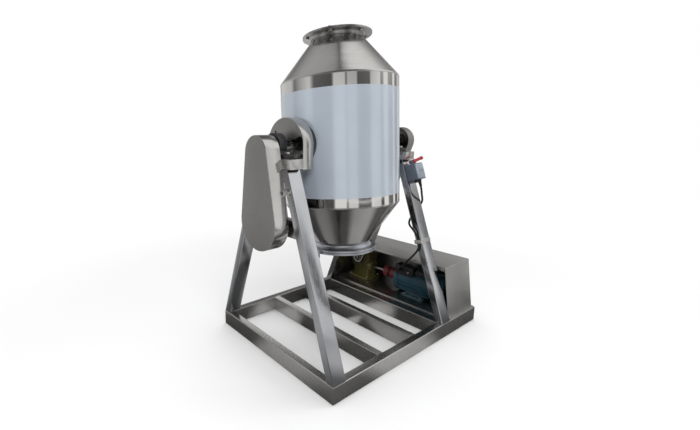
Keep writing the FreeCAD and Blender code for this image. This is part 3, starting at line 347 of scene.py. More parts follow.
def clouding_group():
    """Slow change from one shade to another, as on handled or polished sheet."""
    group, start, end = new_group(
        "Clouding",
        [("Size", "NodeSocketFloat", 4.0), ("First", "NodeSocketColor", (1, 1, 1, 1)),
         ("Second", "NodeSocketColor", (0, 0, 0, 1))],
        [("Colour", "NodeSocketColor")],
    )
    nodes, links = group.nodes, group.links
    place_on = nodes.new("ShaderNodeTexCoord")
    cloud = nodes.new("ShaderNodeTexNoise")
    cloud.inputs["Detail"].default_value = 4.0
    spread = span(nodes, 0.35, 0.65)
    blend = colour_blend(nodes)
    links.new(place_on.outputs["Object"], cloud.inputs["Vector"])
    links.new(start.outputs["Size"], cloud.inputs["Scale"])
    links.new(cloud.outputs["Fac"], spread.inputs["Value"])
    links.new(spread.outputs["Result"], blend.inputs["Factor"])
    links.new(start.outputs["First"], blend.inputs["A"])
    links.new(start.outputs["Second"], blend.inputs["B"])
    links.new(blend.outputs["Result"], end.inputs["Colour"])
    return group


def swell_group():
    """Slow smooth waves, as rolled sheet and hand-polished tube have."""
    group, start, end = new_group(
        "Swell", [("Stretch", "NodeSocketVector", (1.0, 1.0, 1.0))], [("Height", "NodeSocketFloat")])
    wave = stretched_noise(group, start, 0.0)
    group.links.new(wave.outputs["Fac"], end.inputs["Height"])
    return group


def edge_wear_group():
    """Paint rubbed thin on outer edges."""
    group, start, end = new_group(
        "Edge wear",
        [("Paint", "NodeSocketColor", (1, 1, 1, 1)), ("Bare", "NodeSocketColor", (0.5, 0.5, 0.5, 1)),
         ("Amount", "NodeSocketFloat", 0.5)],
        [("Colour", "NodeSocketColor")],
    )
    nodes, links = group.nodes, group.links
    place_on = nodes.new("ShaderNodeTexCoord")
    speck = nodes.new("ShaderNodeTexNoise")
    speck.inputs["Scale"].default_value = 60.0
    shape = nodes.new("ShaderNodeNewGeometry")
    edge = span(nodes, 0.53, 0.62)
    broken = worked_out(nodes, "MULTIPLY")
    amount = worked_out(nodes, "MULTIPLY")
    blend = colour_blend(nodes)
    links.new(place_on.outputs["Object"], speck.inputs["Vector"])
    links.new(shape.outputs["Pointiness"], edge.inputs["Value"])
    links.new(edge.outputs["Result"], broken.inputs[0])
    links.new(speck.outputs["Fac"], broken.inputs[1])
    links.new(broken.outputs["Value"], amount.inputs[0])
    links.new(start.outputs["Amount"], amount.inputs[1])
    links.new(amount.outputs["Value"], blend.inputs["Factor"])
    links.new(start.outputs["Paint"], blend.inputs["A"])
    links.new(start.outputs["Bare"], blend.inputs["B"])
    links.new(blend.outputs["Result"], end.inputs["Colour"])
    return group


GROUP_MAKERS = {"grain": grain_group, "clouding": clouding_group, "swell": swell_group,
                "wear": edge_wear_group}
GROUPS = {}


def shared(title):
    """The node group of that effect, made when it is first asked for."""
    if title not in GROUPS:
        GROUPS[title] = GROUP_MAKERS[title]()
    return GROUPS[title]


# Materials


def new_material(name, metallic=0.0, roughness=0.5):
    material = bpy.data.materials.new(name)
    material.use_nodes = True
    shader_of(material).inputs["Metallic"].default_value = metallic
    shader_of(material).inputs["Roughness"].default_value = roughness
    return material


def shader_of(material):
    return material.node_tree.nodes["Principled BSDF"]


def coated(material, weight, roughness):
    """The material under a clear coat."""
    shader_of(material).inputs["Coat Weight"].default_value = weight
    shader_of(material).inputs["Coat Roughness"].default_value = roughness
    return material


def add_group(material, title, **values):
    node = material.node_tree.nodes.new("ShaderNodeGroup")
    node.node_tree = shared(title)
    for key, value in values.items():
        node.inputs[key].default_value = value
    return node


def add_bump(material, height, strength, distance):
    bump = material.node_tree.nodes.new("ShaderNodeBump")
    bump.inputs["Strength"].default_value = strength
    bump.inputs["Distance"].default_value = distance
    material.node_tree.links.new(height, bump.inputs["Height"])
    return bump


def shade(colour, factor):
    return (colour[0] * factor, colour[1] * factor, colour[2] * factor, 1.0)


def surface(name, colour, clouds, shades, grain, rough, bump, metallic=0.0, wear=0.0, waves=0.0,
            wave_stretch=(3.0, 3.0, 3.0)):
    """Clouded shade with grain in its gloss and height, and with worn edges and slow waves if given."""
    material = new_material(name, metallic)
    shader, links = shader_of(material), material.node_tree.links
    tint = add_group(material, "clouding", Size=clouds, First=shade(colour, shades[0]),
                     Second=shade(colour, shades[1]))
    if wear:
        worn = add_group(material, "wear", Bare=(0.35, 0.34, 0.33, 1.0), Amount=wear)
        links.new(tint.outputs["Colour"], worn.inputs["Paint"])
        tint = worn
    texture = add_group(material, "grain", Stretch=grain, Smoothest=rough[0], Roughest=rough[1])
    lift = add_bump(material, texture.outputs["Height"], *bump)
    if waves:
        slow = add_group(material, "swell", Stretch=wave_stretch)
        swell = add_bump(material, slow.outputs["Height"], 1.0, waves)
        links.new(swell.outputs["Normal"], lift.inputs["Normal"])
    links.new(tint.outputs["Colour"], shader.inputs["Base Color"])
    links.new(texture.outputs["Roughness"], shader.inputs["Roughness"])
    links.new(lift.outputs["Normal"], shader.inputs["Normal"])
    return material


def metal(name, colour, grain, rough, bump, clouds=5.0, contrast=0.12, drawn=0.0, **waves):
    """Bare metal, with its highlights drawn out round the drum where that is asked for."""
    material = surface(name, colour, clouds, shades=(1 + contrast, 1 - contrast), grain=grain, rough=rough,
                       bump=(bump, 0.0004), metallic=1.0, **waves)
    if drawn:
        shader = shader_of(material)
        shader.inputs["Anisotropic"].default_value = drawn
        shader.inputs["Anisotropic Rotation"].default_value = 0.25
        around = material.node_tree.nodes.new("ShaderNodeTangent")
        around.direction_type = "RADIAL"
        around.axis = "Z"
        material.node_tree.links.new(around.outputs["Tangent"], shader.inputs["Tangent"])
    return material


def enamel(name, colour, rough=(0.35, 0.55), wear=0.4):
    """Enamel with a slight orange peel, dulled in places and worn on its edges."""
    return coated(surface(name, colour, clouds=14.0, shades=(1.1, 0.85), grain=(90.0, 90.0, 90.0),
                          rough=rough, bump=(0.15, 0.0005), wear=wear), weight=0.2, roughness=0.25)


def moulding(name, colour, rough, texture=900.0, bump=0.1):
    """Moulded plastic or rubber with a fine spark texture."""
    return surface(name, colour, clouds=20.0, shades=(1.15, 0.85), grain=(texture, texture, texture),
                   rough=rough, bump=(bump, 0.0003))


def protective_film(name, colour):
    """Thin pale film over bright steel: part of the mirror shows through, with soft creases."""
    return coated(surface(name, colour, clouds=3.0, shades=(1.05, 0.95), grain=(7.0, 7.0, 40.0),
                          rough=(0.16, 0.26), bump=(0.25, 0.0006), metallic=0.16), weight=0.6, roughness=0.05)


# Each finish is made from the colours that a user would change, under its plain name
FINISHES = {
    "rail steel": lambda own: metal(
        "Brushed rail", shade(own.stainless, 1.05), grain=(160, 160, 500), rough=(0.24, 0.34), bump=0.01,
        clouds=2.0, contrast=0.10, waves=0.002, wave_stretch=(2, 2, 2)),
    "leg steel": lambda own: metal(
        "Polished leg", (0.575, 0.582, 0.602), grain=(110, 60, 3), rough=(0.10, 0.20), bump=0.03,
        clouds=3.0, waves=0.008, wave_stretch=(3, 3, 2)),
    "seat steel": lambda own: metal(
        "Brushed seat", shade(own.stainless, 0.95), grain=(120, 6, 120), rough=(0.20, 0.36), bump=0.08,
        contrast=0.2, waves=0.006, wave_stretch=(6, 6, 6)),
    "drum steel": lambda own: metal(
        "Mirror drum", shade(own.stainless, 1.15), grain=(3, 3, 60), rough=(0.04, 0.08), bump=0.01,
        contrast=0.04, waves=0.0006, wave_stretch=(4, 4, 8)),
    "upper cone steel": lambda own: metal(
        "Spun cone", shade(own.stainless, 1.05), grain=(6, 6, 220), rough=(0.14, 0.22), bump=0.05,
        contrast=0.08, drawn=0.6, waves=0.002),
    # Painted shade: the lower cone's steel is made darker than the upper cone's, to stand in for the shade
    # and dark reflections under the drum
    "lower cone steel": lambda own: metal(
        "Lower cone in painted shade", shade(own.stainless, 0.74), grain=(6, 6, 220), rough=(0.12, 0.20), bump=0.05,
        contrast=0.10, drawn=0.5, waves=0.002),
    "guard face": lambda own: metal(
        "Matt guard face", shade(own.stainless, 0.66), grain=(40, 40, 40), rough=(0.48, 0.56), bump=0.03,
        contrast=0.04),
    "guard rim": lambda own: metal(
        "Bright guard rim", own.stainless, grain=(4, 120, 120), rough=(0.12, 0.22), bump=0.04,
        waves=0.004, wave_stretch=(4, 4, 4)),
    "cover steel": lambda own: metal(
        "Cover sheet", shade(own.stainless, 0.88), grain=(8, 160, 8), rough=(0.32, 0.46), bump=0.06,
        contrast=0.08, waves=0.004, wave_stretch=(2, 3, 3)),
    "turned steel": lambda own: metal(
        "Turned flange", shade(own.stainless, 0.98), grain=(30, 30, 300), rough=(0.16, 0.28), bump=0.05,
        contrast=0.06),
    "neck steel": lambda own: metal(
        "Shaded neck", shade(own.stainless, 0.62), grain=(30, 30, 300), rough=(0.22, 0.34), bump=0.04,
        contrast=0.06),
    "satin flange": lambda own: metal(
        "Satin flange", (0.56, 0.58, 0.62), grain=(30, 30, 300), rough=(0.34, 0.46), bump=0.04,
        contrast=0.05),
    "shaft steel": lambda own: metal(
        "Ground shaft", shade(own.stainless, 0.60), grain=(300, 40, 40), rough=(0.15, 0.28), bump=0.05),
    # Painted shade and reflection: the bosses' steel is darkened to stand in for their shade and for the dark
    # hood mirrored in them
    "boss steel": lambda own: metal(
        "Boss in painted shade", shade(own.stainless, 0.28), grain=(40, 40, 40), rough=(0.24, 0.38), bump=0.05),
    "chain steel": lambda own: metal(
        "Oiled chain", (0.16, 0.15, 0.14), grain=(60, 60, 60), rough=(0.25, 0.50), bump=0.10),
    "bolt steel": lambda own: metal(
        "Bright bolt", shade(own.stainless, 1.1), grain=(200, 200, 200), rough=(0.20, 0.35), bump=0.04),
    "film": lambda own: protective_film("Protective film", own.film),
    "bearing paint": lambda own: enamel("Bearing enamel", own.bearing),
    "motor paint": lambda own: enamel("Motor enamel", own.motor),
    "gearbox paint": lambda own: enamel("Gearbox enamel", own.gearbox),
    "coupling paint": lambda own: enamel("Coupling enamel", own.coupling),
    "switch paint": lambda own: enamel("Switch enamel", own.switch, rough=(0.38, 0.55), wear=0.2),
    "switch cover paint": lambda own: enamel(
        "Switch cover enamel", own.switch_cover, rough=(0.35, 0.50), wear=0.2),
    "red moulding": lambda own: moulding(
        "Lever moulding", own.lever, rough=(0.25, 0.40), texture=300.0, bump=0.05),
    "black moulding": lambda own: moulding("Black moulding", (0.016, 0.016, 0.018), rough=(0.35, 0.55)),
    "rubber": lambda own: moulding("Black rubber", (0.012, 0.012, 0.012), rough=(0.50, 0.70)),
    "lead sheath": lambda own: moulding(
        "Lead sheath", (0.010, 0.010, 0.011), rough=(0.35, 0.50), texture=500.0),
    "white rubber": lambda own: moulding("White seal", (0.62, 0.62, 0.58), rough=(0.45, 0.60)),
}
MATERIALS = {}


def finish_named(title):
    """The material of that plain name, made when it is first asked for."""
    if title not in MATERIALS:
        MATERIALS[title] = FINISHES[title](bpy.context.scene.mixer_finishes)
        MATERIALS[title].use_backface_culling = False
    return MATERIALS[title]


# Dressing pieces and fitting them to the frame


def dress_with(piece, material):
    piece.data.materials.clear()
    piece.data.materials.append(material)
    return piece


def dress(piece, title):
    return dress_with(piece, finish_named(title))


def also_dress(piece, title, wanted):
    """A second finish on the faces that are wanted."""
    piece.data.materials.append(finish_named(title))
    edit(piece)
    pick_faces(piece, wanted)
    piece.active_material_index = len(piece.data.materials) - 1
    bpy.ops.object.material_slot_assign()
    done_editing()


def fit(piece, node):
    """The piece stands for that node, moves with its body and keeps its material slot."""
    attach(piece, BODY_OF[node])
    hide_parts(node)
    return piece


def skin_of(node, title, bevel=0.0008, angle=40.0):
    """A welded copy of a solid with its edges broken."""
    clear_selection()
    source = frame["nodes"][node]
    piece = source.copy()
    piece.data = source.data.copy()
    piece.name = node + "_skin"
    piece.parent = None
    bpy.context.scene.collection.objects.link(piece)
    edit(piece, "VERT")
    bpy.ops.mesh.select_all(action="SELECT")
    bpy.ops.mesh.remove_doubles(threshold=0.00002)
    bpy.ops.mesh.select_all(action="SELECT")
    bpy.ops.mesh.dissolve_limited(angle_limit=math.radians(1.0))
    done_editing()
    for key in list(piece.keys()):
        if key.startswith("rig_"):
            del piece[key]
    if bevel:
        soften_edges(piece, bevel, angle)
    smooth(piece, angle)
    dress(piece, title)
    return fit(piece, node)


# Sizes and colours that a user would change


class MixerSizes(bpy.types.PropertyGroup):
    drum_radius: bpy.props.FloatProperty(
        name="Drum Radius", description="Outside radius of the drum's cylinder", default=0.3, unit="LENGTH")
    sheet: bpy.props.FloatProperty(
        name="Sheet", description="Thickness of the guards and covers", default=0.002, unit="LENGTH")
    edge_break: bpy.props.FloatProperty(
        name="Edge Break", description="How far machined edges are broken", default=0.0008, unit="LENGTH")
    weld_bead: bpy.props.FloatProperty(
        name="Weld Bead", description="Radius of the weld round each end of the drum", default=0.0022,
        unit="LENGTH")


class MixerFinishes(bpy.types.PropertyGroup):
    stainless: bpy.props.FloatVectorProperty(
        name="Stainless", description="Shade of bare stainless steel", subtype="COLOR",
        default=(0.56, 0.55, 0.53))
    film: bpy.props.FloatVectorProperty(
        name="Film", description="Shade of the protective film", subtype="COLOR",
        default=(0.54, 0.60, 0.68))
    motor: bpy.props.FloatVectorProperty(
        name="Motor", description="Shade of the motor's enamel", subtype="COLOR",
        default=(0.012, 0.070, 0.105))
    gearbox: bpy.props.FloatVectorProperty(
        name="Gearbox", description="Shade of the gearbox's enamel", subtype="COLOR",
        default=(0.100, 0.087, 0.022))
    coupling: bpy.props.FloatVectorProperty(
        name="Coupling", description="Shade of the coupling hubs", subtype="COLOR",
        default=(0.19, 0.011, 0.014))
    bearing: bpy.props.FloatVectorProperty(
        name="Bearing", description="Shade of the bearing housings", subtype="COLOR",
        default=(0.012, 0.013, 0.016))
    switch: bpy.props.FloatVectorProperty(
        name="Switch", description="Shade of the switch box", subtype="COLOR",
        default=(0.13, 0.155, 0.20))
    switch_cover: bpy.props.FloatVectorProperty(
        name="Switch Cover", description="Shade of the switch's front cover", subtype="COLOR",
        default=(0.32, 0.36, 0.42))
    lever: bpy.props.FloatVectorProperty(
        name="Lever", description="Shade of the switch lever", subtype="COLOR",
        default=(0.40, 0.010, 0.020))


# Pieces


class MIXER_OT_base(bpy.types.Operator):
    """Rails, cross bars, legs, seats and the tie bar"""

    bl_idname = "mixer.base"
    bl_label = "Base and Trestles"

    def execute(self, context):
        bevel = context.scene.mixer_sizes.edge_break
        for node in ("front_rail", "rear_rail", "left_rail", "right_rail", "cross_bars"):
            skin_of(node, "rail steel", bevel)
        for node in ("left_front_leg", "left_rear_leg", "right_front_leg", "right_rear_leg"):
            skin_of(node, "leg steel", bevel)
        skin_of("bearing_seats", "seat steel", bevel)
        skin_of("tie_bar", "seat steel", bevel)
        skin_of("motor_plate", "rail steel", bevel)
        return {"FINISHED"}


def leg_front(height):
    """How far the outer faces of the legs stand from the machine's middle at that height."""
    return HALF_BASE_WIDTH - LEG_SLOPE * (height - RAIL_TOP)


def along_drum(point):
    """How far a point lies from the trunnion axis, measured along the leaning drum."""
    return (point.z - AXIS_HEIGHT) * math.cos(DRUM_LEAN) - point.y * math.sin(DRUM_LEAN)


class MIXER_OT_drum(bpy.types.Operator):
    """Cylinder, conical ends, weld seams and the film round the drum"""

    bl_idname = "mixer.drum"
    bl_label = "Drum"

    def execute(self, context):
        sizes = context.scene.mixer_sizes
        radius = sizes.drum_radius
        bore, half = radius - DRUM_WALL, DRUM_HALF_HEIGHT
        shell = turned("drum_shell_skin", [(radius, -half), (radius, half), (bore, half), (bore, -half)],
                       DRUM_SIDES, closed=True)
        smooth(lean_on_drum(shell), angle=30)
        fit(dress(shell, "drum steel"), "drum_shell")
        for side, node in ((1, "upper_cone"), (-1, "lower_cone")):
            cone = fit(dress(self.cone(side, radius, node), node.replace("_", " ") + " steel"), node)
            if side < 0:
                also_dress(cone, "satin flange", lambda f: along_drum(f.center) < -CONE_ENDS[-1][1])
            self.weld(side, radius, sizes.weld_bead, node)
        self.film(radius)
        return {"FINISHED"}

    def cone(self, side, radius, node):
        """The upper cone ends at its neck, and the lower one flares out into its flange."""
        neck, start = CONE_ENDS[side]
        bore = neck - DRUM_WALL
        knuckle, flare, land = 0.016, 0.018, 0.0027
        slope = math.degrees(math.atan2(start - DRUM_HALF_HEIGHT, radius - neck))
        outer = arc_points((radius - knuckle, DRUM_HALF_HEIGHT), knuckle, 0, 90 - slope)
        inner = arc_points((radius - knuckle, DRUM_HALF_HEIGHT), knuckle - DRUM_WALL, 0, 90 - slope)
        end = [(neck, start), (bore, start)]
        if side < 0:
            sweep = arc_points((neck + flare, start + land), flare, 180, 90)
            end = [(neck, start)] + sweep + [(bore, start + land + flare), (bore, start)]
        rings = [(ring, side * height) for ring, height in outer + end + inner[::-1]]
        return smooth(lean_on_drum(turned(node + "_skin", rings, DRUM_SIDES, closed=True)), angle=40)

    def weld(self, side, radius, bead_radius, node):
        """The bead over the seam between the cylinder and a cone."""
        sunk, past_seam = 0.0014, 0.0002
        middle = (radius - sunk, side * (DRUM_HALF_HEIGHT + past_seam))
        rings = arc_points(middle, bead_radius, 0, 330, steps=11)
        bead = turned(node + "_weld", rings, DRUM_SIDES, closed=True)
        smooth(lean_on_drum(bead), angle=60)
        dress(bead, "turned steel")
        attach(bead, "drum")

    def film(self, radius):
        inside, outside, low, high = radius + 0.0001, radius + 0.0005, -0.262, 0.25
        film = turned("drum_film_skin", [(outside, low), (outside, high), (inside, high), (inside, low)],
                      DRUM_SIDES, closed=True)
        reach, boss_hole = 0.33, 0.1135
        cut_away(film, rod("boss_cut", (-reach, 0, 0), (reach, 0, 0), boss_hole, 96))
        smooth(lean_on_drum(film), angle=30)
        fit(dress(film, "film"), "drum_film")


class MIXER_OT_ends(bpy.types.Operator):
    """Necks with their flanges, charging lid, discharge door, seal, hinge and knob"""

    bl_idname = "mixer.ends"
    bl_label = "Drum Ends"

    def execute(self, context):
        flange, edge, back, face, top = 0.174, 0.0005, 0.5345, 0.5405, 0.5445
        self.upper_flange(flange, edge, back, face)
        self.lid(flange, edge, face + 0.0001, top)
        skin_of("lid_bolts", "bolt steel", bevel=0.0005)
        self.lower_flange()
        skin_of("door_gasket", "white rubber", bevel=0.0)
        skin_of("door_hinge_pin", "shaft steel", bevel=0.0004)
        skin_of("discharge_door", "satin flange", bevel=0.0006, angle=30)
        self.door_handle()
        skin_of("clamp_knob", "black moulding", bevel=0.0015, angle=30)
        return {"FINISHED"}

    def upper_flange(self, flange, edge, back, face):
        neck, start = CONE_ENDS[1]
        bore, fillet = neck - DRUM_WALL, 0.012
        rings = [(neck, start)] + arc_points((neck + fillet, back - fillet), fillet, 180, 90)
        rings += [(flange - edge, back), (flange, back + edge), (flange, face - edge), (flange - edge, face),
                  (bore, face), (bore, start)]
        piece = turned("upper_flange_skin", rings, 160, closed=True)
        smooth(lean_on_drum(piece), angle=30)
        fit(dress(piece, "neck steel"), "upper_flange")

    def lid(self, flange, edge, seat, top):
        rings = [(flange - edge, seat), (flange, seat + edge), (flange, top - edge), (flange - edge, top)]
        piece = turned("top_lid_skin", rings, 160)
        smooth(lean_on_drum(piece), angle=30)
        fit(dress(piece, "turned steel"), "top_lid")

    def lower_flange(self):
        """Only its flat ring, because the lower cone already runs down to it."""
        face, neck_top, cut_radius = 0.5449, 0.46, 0.166
        flange = skin_of("lower_flange", "satin flange", bevel=0.0006, angle=30)
        cut_away(flange, lean_on_drum(rod("neck_cut", (0, 0, -face), (0, 0, -neck_top), cut_radius, 96)))

    def door_handle(self):
        """A bent wire under the door to pull it by."""
        half_width, drop, wire, face, out, steps = 0.040, 0.056, 0.003, 0.5665, 0.118, 12
        bends = []
        for i in range(steps + 1):
            turn = math.pi * i / steps
            bends.append(Vector((-half_width * math.cos(turn), -out, -face - drop * math.sin(turn))))
        runs = [rod("door_handle_run", first, last, wire, 16) for first, last in zip(bends, bends[1:])]
        for bend in bends[1:-1]:
            bpy.ops.mesh.primitive_uv_sphere_add(segments=16, ring_count=8, radius=wire, location=bend)
            runs.append(bpy.context.object)
        handle = lean_on_drum(smooth(joined("door_handle", runs), angle=60))
        dress(handle, "shaft steel")
        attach(handle, "door")


class MIXER_OT_carrier(bpy.types.Operator):
    """Trunnions, bosses, bearing units and their collars"""

    bl_idname = "mixer.carrier"
    bl_label = "Trunnions and Bearings"

    def execute(self, context):
        for node in ("left_trunnion", "right_trunnion", "lock_collars"):
            skin_of(node, "shaft steel", bevel=0.0006)
        skin_of("trunnion_bosses", "boss steel", bevel=0.0010)
        skin_of("trunnion_bolts", "bolt steel", bevel=0.0005)
        skin_of("bearing_inserts", "shaft steel", bevel=0.0008)
        skin_of("bearing_housings", "bearing paint", bevel=0.0030)
        return {"FINISHED"}


def oval_case(name, circles, open_x, face_x, sheet):
    """A guard folded round two circles, each with its Y, height and radius, and open towards the machine."""
    discs = [rod(name, (open_x, y, z), (face_x, y, z), radius, 128) for y, z, radius in circles]
    case = wrapped(name, discs)
    open_side(case, lambda face: abs(face.center.x - open_x) < 0.001 and abs(face.normal.x) > 0.9)
    edit(case, "EDGE")
    pick_edges(case, lambda a, b: abs(a.x - face_x) < 0.0001 and abs(b.x - face_x) < 0.0001)
    bpy.ops.mesh.bevel(offset=FOLD_RADIUS, segments=3, affect="EDGES")
    done_editing()
    use_modifier(case, "SOLIDIFY", thickness=sheet, offset=-1.0, use_even_offset=True)
    return case


class MIXER_OT_guards(bpy.types.Operator):
    """Both chain guards and the hood over the left trunnion"""

    bl_idname = "mixer.guards"
    bl_label = "Guards"

    def execute(self, context):
        sheet = context.scene.mixer_sizes.sheet
        self.left_guard(sheet)
        self.right_guard(sheet)
        self.hood(sheet)
        return {"FINISHED"}

    def left_guard(self, sheet):
        face = LEFT_TRESTLE - 0.080
        shaft_end, countershaft_end = (0, 1.041, 0.080), (-0.012, 0.720, 0.132)
        case = oval_case("left_chain_guard_skin", [shaft_end, countershaft_end], LEFT_TRESTLE, face, sheet)
        tab_height, tab_half, tab_thick, tab_start, margin = 0.870, 0.015, 0.003, 0.104, 0.004
        tab_end = leg_front(tab_height) - margin
        tabs = []
        for side in (-1, 1):
            y0, y1 = sorted((side * tab_start, side * tab_end))
            tab = block("guard_tab", (LEFT_TRESTLE - tab_thick, y0, tab_height - tab_half),
                        (LEFT_TRESTLE, y1, tab_height + tab_half))
            soften_edges(tab, 0.0008)
            tabs.append(tab)
        case = joined("left_chain_guard_skin", [case] + tabs)
        smooth(case)
        dress(case, "guard rim")
        also_dress(case, "guard face", lambda f: f.normal.x < -0.95 and f.center.x < face + 0.001)
        fit(case, "left_chain_guard")

    def right_guard(self, sheet):
        shaft_end = (0, AXIS_HEIGHT, 0.081)
        gearbox_end = (OUTPUT_SHAFT_Y, OUTPUT_SHAFT_HEIGHT, 0.069)
        case = oval_case("right_chain_guard_skin", [shaft_end, gearbox_end], GUARD_NEAR, GUARD_FAR, sheet)
        past, above_cover = 0.05, 0.3733
        cut_away(case, block("foot_cut", (GUARD_NEAR - past, -0.1, 0), (GUARD_FAR + past, 0.5, above_cover)))
        smooth(case)
        dress(case, "guard face")
        low, high, lap = 0.982, 1.007, 0.012
        brackets = []
        for y0, y1 in ((-0.080, -0.064), (0.103, 0.122)):
            bracket = block("guard_bracket", (RIGHT_TRESTLE + TRESTLE_WIDTH, y0, low),
                            (GUARD_NEAR + lap, y1, high))
            soften_edges(bracket, 0.0008)
            dress(bracket, "rail steel")
            brackets.append(bracket)
        fit(joined("right_chain_guard_skin", [case] + brackets), "right_chain_guard")

    def hood(self, sheet):
        radius = 0.128
        face = LEFT_TRESTLE + 0.095
        back = LEFT_TRESTLE + 0.158
        rim = self.hood_rim(radius, face, back, sheet)
        plate = self.hood_plate(radius - 0.0004, face + 0.0002, face + sheet)
        pieces = [rim, plate]
        seat_side, low, high = 0.106, 0.976, 1.007
        seat = LEFT_TRESTLE + TRESTLE_WIDTH
        for side in (-1, 1):
            wall = side * radius
            y0, y1 = sorted((wall, wall - side * sheet))
            tab = block("hood_tab", (seat, y0, low), (face + 0.001, y1, high))
            y0, y1 = sorted((side * seat_side, wall))
            foot = block("hood_foot", (seat, y0, low), (seat + sheet, y1, high))
            pieces += [dress(tab, "guard rim"), dress(foot, "guard rim")]
        fit(joined("trunnion_hood_skin", pieces), "trunnion_hood")

    def hood_rim(self, radius, face, back, sheet):
        """The band bent over the trunnion, straight on both sides below it."""
        drop = 0.108
        dome = rod("dome", (face, 0, AXIS_HEIGHT), (back, 0, AXIS_HEIGHT), radius, 160)
        edit(dome)
        bpy.ops.mesh.select_all(action="SELECT")
        bpy.ops.mesh.bisect(plane_co=(0, 0, AXIS_HEIGHT), plane_no=(0, 0, 1), clear_inner=True, use_fill=True)
        done_editing()
        skirt = block("skirt", (face, -radius, AXIS_HEIGHT - drop), (back, radius, AXIS_HEIGHT))
        rim = wrapped("trunnion_hood_skin", [dome, skirt])
        open_side(rim, lambda f: abs(f.normal.x) > 0.9 or f.normal.z < -0.9)
        use_modifier(rim, "SOLIDIFY", thickness=sheet, offset=-1.0, use_even_offset=True)
        soften_edges(rim, 0.0006, angle=50)
        smooth(rim)
        return dress(rim, "guard rim")

    def hood_plate(self, radius, front, back):
        """The plate over the trunnion, with an arc as its lower edge and a hole for the shaft."""
        arc, rise, shaft_hole, past = 0.265, 0.021, 0.028, 0.05
        plate = rod("plate", (front, 0, AXIS_HEIGHT), (back, 0, AXIS_HEIGHT), radius, 160)
        for name, height, size, sides, operation in (
                ("arc", AXIS_HEIGHT + rise + arc, arc, 256, "INTERSECT"),
                ("shaft_cut", AXIS_HEIGHT, shaft_hole, 64, "DIFFERENCE")):
            cutter = rod(name, (front - past, 0, height), (front + past, 0, height), size, sides)
            cut_away(plate, cutter, operation)
        soften_edges(plate, 0.0004, angle=50)
        smooth(plate)
        return dress(plate, "guard face")


class MIXER_OT_chains(bpy.types.Operator):
    """Sprockets, chains, countershaft and its bearing"""

    bl_idname = "mixer.chains"
    bl_label = "Chains and Sprockets"

    def execute(self, context):
        for node in ("driven_sprocket", "end_sprocket", "counter_sprocket", "drive_sprocket",
                     "left_chain", "drive_chain"):
            skin_of(node, "chain steel", bevel=0.0003)
        for node in ("countershaft", "output_shaft"):
            skin_of(node, "shaft steel", bevel=0.0005)
        skin_of("countershaft_bearing", "bearing paint", bevel=0.0015)
        return {"FINISHED"}


class MIXER_OT_drive(bpy.types.Operator):
    """Motor, terminal box, coupling and worm gearbox"""

    bl_idname = "mixer.drive"
    bl_label = "Drive Unit"

    def execute(self, context):
        skin_of("motor_body", "motor paint", bevel=0.0010)
        skin_of("fan_cowl", "motor paint", bevel=0.0006)
        skin_of("terminal_box", "black moulding", bevel=0.0010)
        for node in ("motor_shaft", "worm_shaft"):
            skin_of(node, "shaft steel", bevel=0.0005)
        skin_of("coupling_hubs", "coupling paint", bevel=0.0015)
        skin_of("coupling_spider", "rubber", bevel=0.0008)
        skin_of("gearbox_case", "gearbox paint", bevel=0.0015)
        skin_of("gearbox_caps", "gearbox paint", bevel=0.0010)
        self.terminal_screw()
        return {"FINISHED"}

    def terminal_screw(self):
        outer, inner, y, height, radius = 0.4345, 0.4382, -0.116, 0.2494, 0.006
        screw = rod("terminal_screw", (inner, y, height), (outer, y, height), radius)
        soften_edges(screw, 0.0008)
        dress(smooth(screw, angle=40), "bolt steel")
        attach(screw, "frame")


class MIXER_OT_cover(bpy.types.Operator):
    """Sheet cover over the drive, open towards the drum"""

    bl_idname = "mixer.cover"
    bl_label = "Motor Cover"

    def execute(self, context):
        sheet = context.scene.mixer_sizes.sheet
        near, far, low, high = 0.380, 0.653, RAIL_TOP, 0.372
        half, top_half = 0.415, 0.375
        notch_middle = OUTPUT_SHAFT_Y * (AXIS_HEIGHT - high) / (AXIS_HEIGHT - OUTPUT_SHAFT_HEIGHT)
        notch = (notch_middle - 0.095, notch_middle + 0.095)
        cover = self.folded_sheet(near, far, low, high, half, top_half, sheet)
        past, notch_depth, notch_gap = 0.001, 0.024, 0.006
        cut_away(cover, block("notch", (near - past, notch[0], high - notch_depth),
                              (GUARD_FAR + notch_gap, notch[1], high + past)))
        pieces = [cover]
        lip_end, lip_drop, lip_seat = top_half - 0.001, 0.020, 0.0005
        for start, end in ((-lip_end, notch[0]), (notch[1], lip_end)):
            lip = block("lip", (near, start, high - lip_drop), (near + sheet, end, high - lip_seat))
            soften_edges(lip, 0.0004)
            pieces.append(lip)
        foot_start, foot_end = half - 0.0005, half + 0.014
        for side in (-1, 1):
            y0, y1 = sorted((side * foot_start, side * foot_end))
            foot = block("cover_foot", (near, y0, low), (far, y1, low + sheet))
            soften_edges(foot, 0.0006)
            pieces.append(foot)
        cover = smooth(joined("motor_cover_skin", pieces))
        fit(dress(cover, "cover steel"), "motor_cover")
        return {"FINISHED"}

    def folded_sheet(self, near, far, low, high, half, top_half, sheet):
        """A box narrower at its top, open below and towards the drum."""
        cover = block("motor_cover_skin", (near, -half, low), (far, half, high))
        edit(cover)
        pick_faces(cover, lambda f: f.normal.z > 0.9)
        bpy.ops.transform.resize(value=(1, top_half / half, 1), center_override=(0, 0, high))
        done_editing()
        open_side(cover, lambda f: f.normal.x < -0.9 or f.normal.z < -0.9)
        edit(cover, "EDGE")
        pick_edges(cover, lambda a, b: max(a.z, b.z) > low + 0.01 and not (
            abs(a.x - near) < 0.001 and abs(b.x - near) < 0.001))
        bpy.ops.mesh.bevel(offset=FOLD_RADIUS, segments=3, affect="EDGES")
        done_editing()
        use_modifier(cover, "SOLIDIFY", thickness=sheet, offset=-1.0, use_even_offset=True)
        return cover


